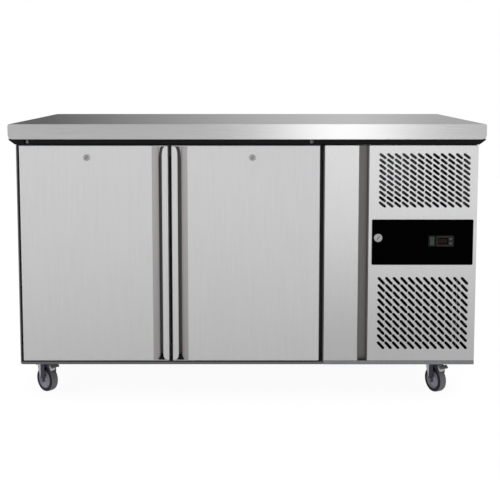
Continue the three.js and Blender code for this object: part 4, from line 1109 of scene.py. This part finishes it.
def ranged(tree, source, start, end, low, high, smooth=True):
    """A value mapped from one range to another."""
    limits = {"Value": source, "From Min": start, "From Max": end, "To Min": low, "To Max": high}
    return add(tree, "MapRange", limits, interpolation_type="SMOOTHSTEP" if smooth else "LINEAR")


def maths(tree, operation, *values):
    return add(tree, "Math", enumerate(values), operation=operation)


def mixed(tree, factor, a, b):
    return add(tree, "Mix", {"Factor": factor, "A": a, "B": b}, "Result")


def floor():
    """Plain white floor: it glows a little, so that the object's own shadow on it stays faint."""
    bm = bmesh.new()
    bmesh.ops.create_circle(bm, cap_ends=True, segments=96, radius=6)
    made = linked("floor", drawn(bm, "floor"))
    made.location.z = -0.0002
    paper = bpy.data.materials.new("floor_paper")
    paper.use_nodes = True
    tree = paper.node_tree
    tree.nodes.clear()
    seen = add(tree, "LightPath", output="Is Camera Ray")
    place = add(tree, "TexCoord", output="Object")
    distance = add(tree, "VectorMath", {0: place}, "Value", operation="LENGTH")
    level = mixed(tree, seen, ranged(tree, distance, 0.5, 4.0, 0.6, 1.08), 1.06)
    glow = add(tree, "Emission", {"Strength": level})
    matt = add(tree, "BsdfDiffuse", {"Color": (0.9, 0.9, 0.9, 1)})
    both = add(tree, "MixShader", {"Fac": 0.12, 1: glow, 2: matt})
    add(tree, "OutputMaterial", {"Surface": both}, output=None)
    made.data.materials.append(paper)


FRONT_LEVEL = 0.52
SIDE_LEVEL = 1.2
STRIP_LEVEL = 2.75


def studio():
    """White surround with a bright strip in front, right of the middle, and a darker far wall."""
    world = bpy.data.worlds.new("studio")
    bpy.context.scene.world = world
    world.use_nodes = True
    tree = world.node_tree
    background = tree.nodes["Background"]
    way = add(tree, "TexCoord", output="Generated")
    x = add(tree, "SeparateXYZ", {"Vector": way}, "X")
    y, z = (x.node.outputs[axis] for axis in "YZ")
    base = ranged(tree, maths(tree, "ABSOLUTE", x), 0.2, 0.55, FRONT_LEVEL, SIDE_LEVEL)
    rising = ranged(tree, x, 0.004, 0.105, 0.0, 1.0)
    setting = ranged(tree, x, 0.105, 0.19, 1.0, 0.0)
    low_down = ranged(tree, z, 0.05, 0.4, STRIP_LEVEL, 0.0)
    strip = maths(tree, "MULTIPLY", maths(tree, "MULTIPLY", rising, setting), low_down)
    front = maths(tree, "ADD", strip, base)
    wall = ranged(tree, x, -0.2, 0.1, 0.0, 0.66, smooth=False)
    wall = maths(tree, "SUBTRACT", wall, ranged(tree, x, 0.1, 0.22, 0.0, 0.25))
    ahead = ranged(tree, y, 0.45, 0.8, 0.0, 1.0)
    is_wall = maths(tree, "MULTIPLY", ahead, ranged(tree, z, 0.45, 0.9, 1.0, 0.0))
    behind = ranged(tree, y, -0.2, 0.3, 0.0, 1.0)
    around = mixed(tree, is_wall, mixed(tree, behind, front, 1.0), wall)
    level = mixed(tree, add(tree, "LightPath", output="Is Camera Ray"), around, 1.0)
    tree.links.new(level, background.inputs["Strength"])
    background.inputs["Color"].default_value = (1, 1, 1, 1)


def camera():
    """Stands 3.1 m in front, a little above the worktop, and looks slightly down."""
    lens = bpy.data.cameras.new("camera")
    lens.sensor_width = 36
    lens.lens = 68.75
    lens.shift_x = 0.0055
    lens.shift_y = -0.165
    made = linked("camera", lens)
    made.location = (0, -3.0551, 0.951)
    made.rotation_euler = (math.radians(90 - 5.58), 0, 0)
    bpy.context.scene.camera = made


floor()
studio()
camera()
bpy.context.scene.view_settings.view_transform = "Standard"
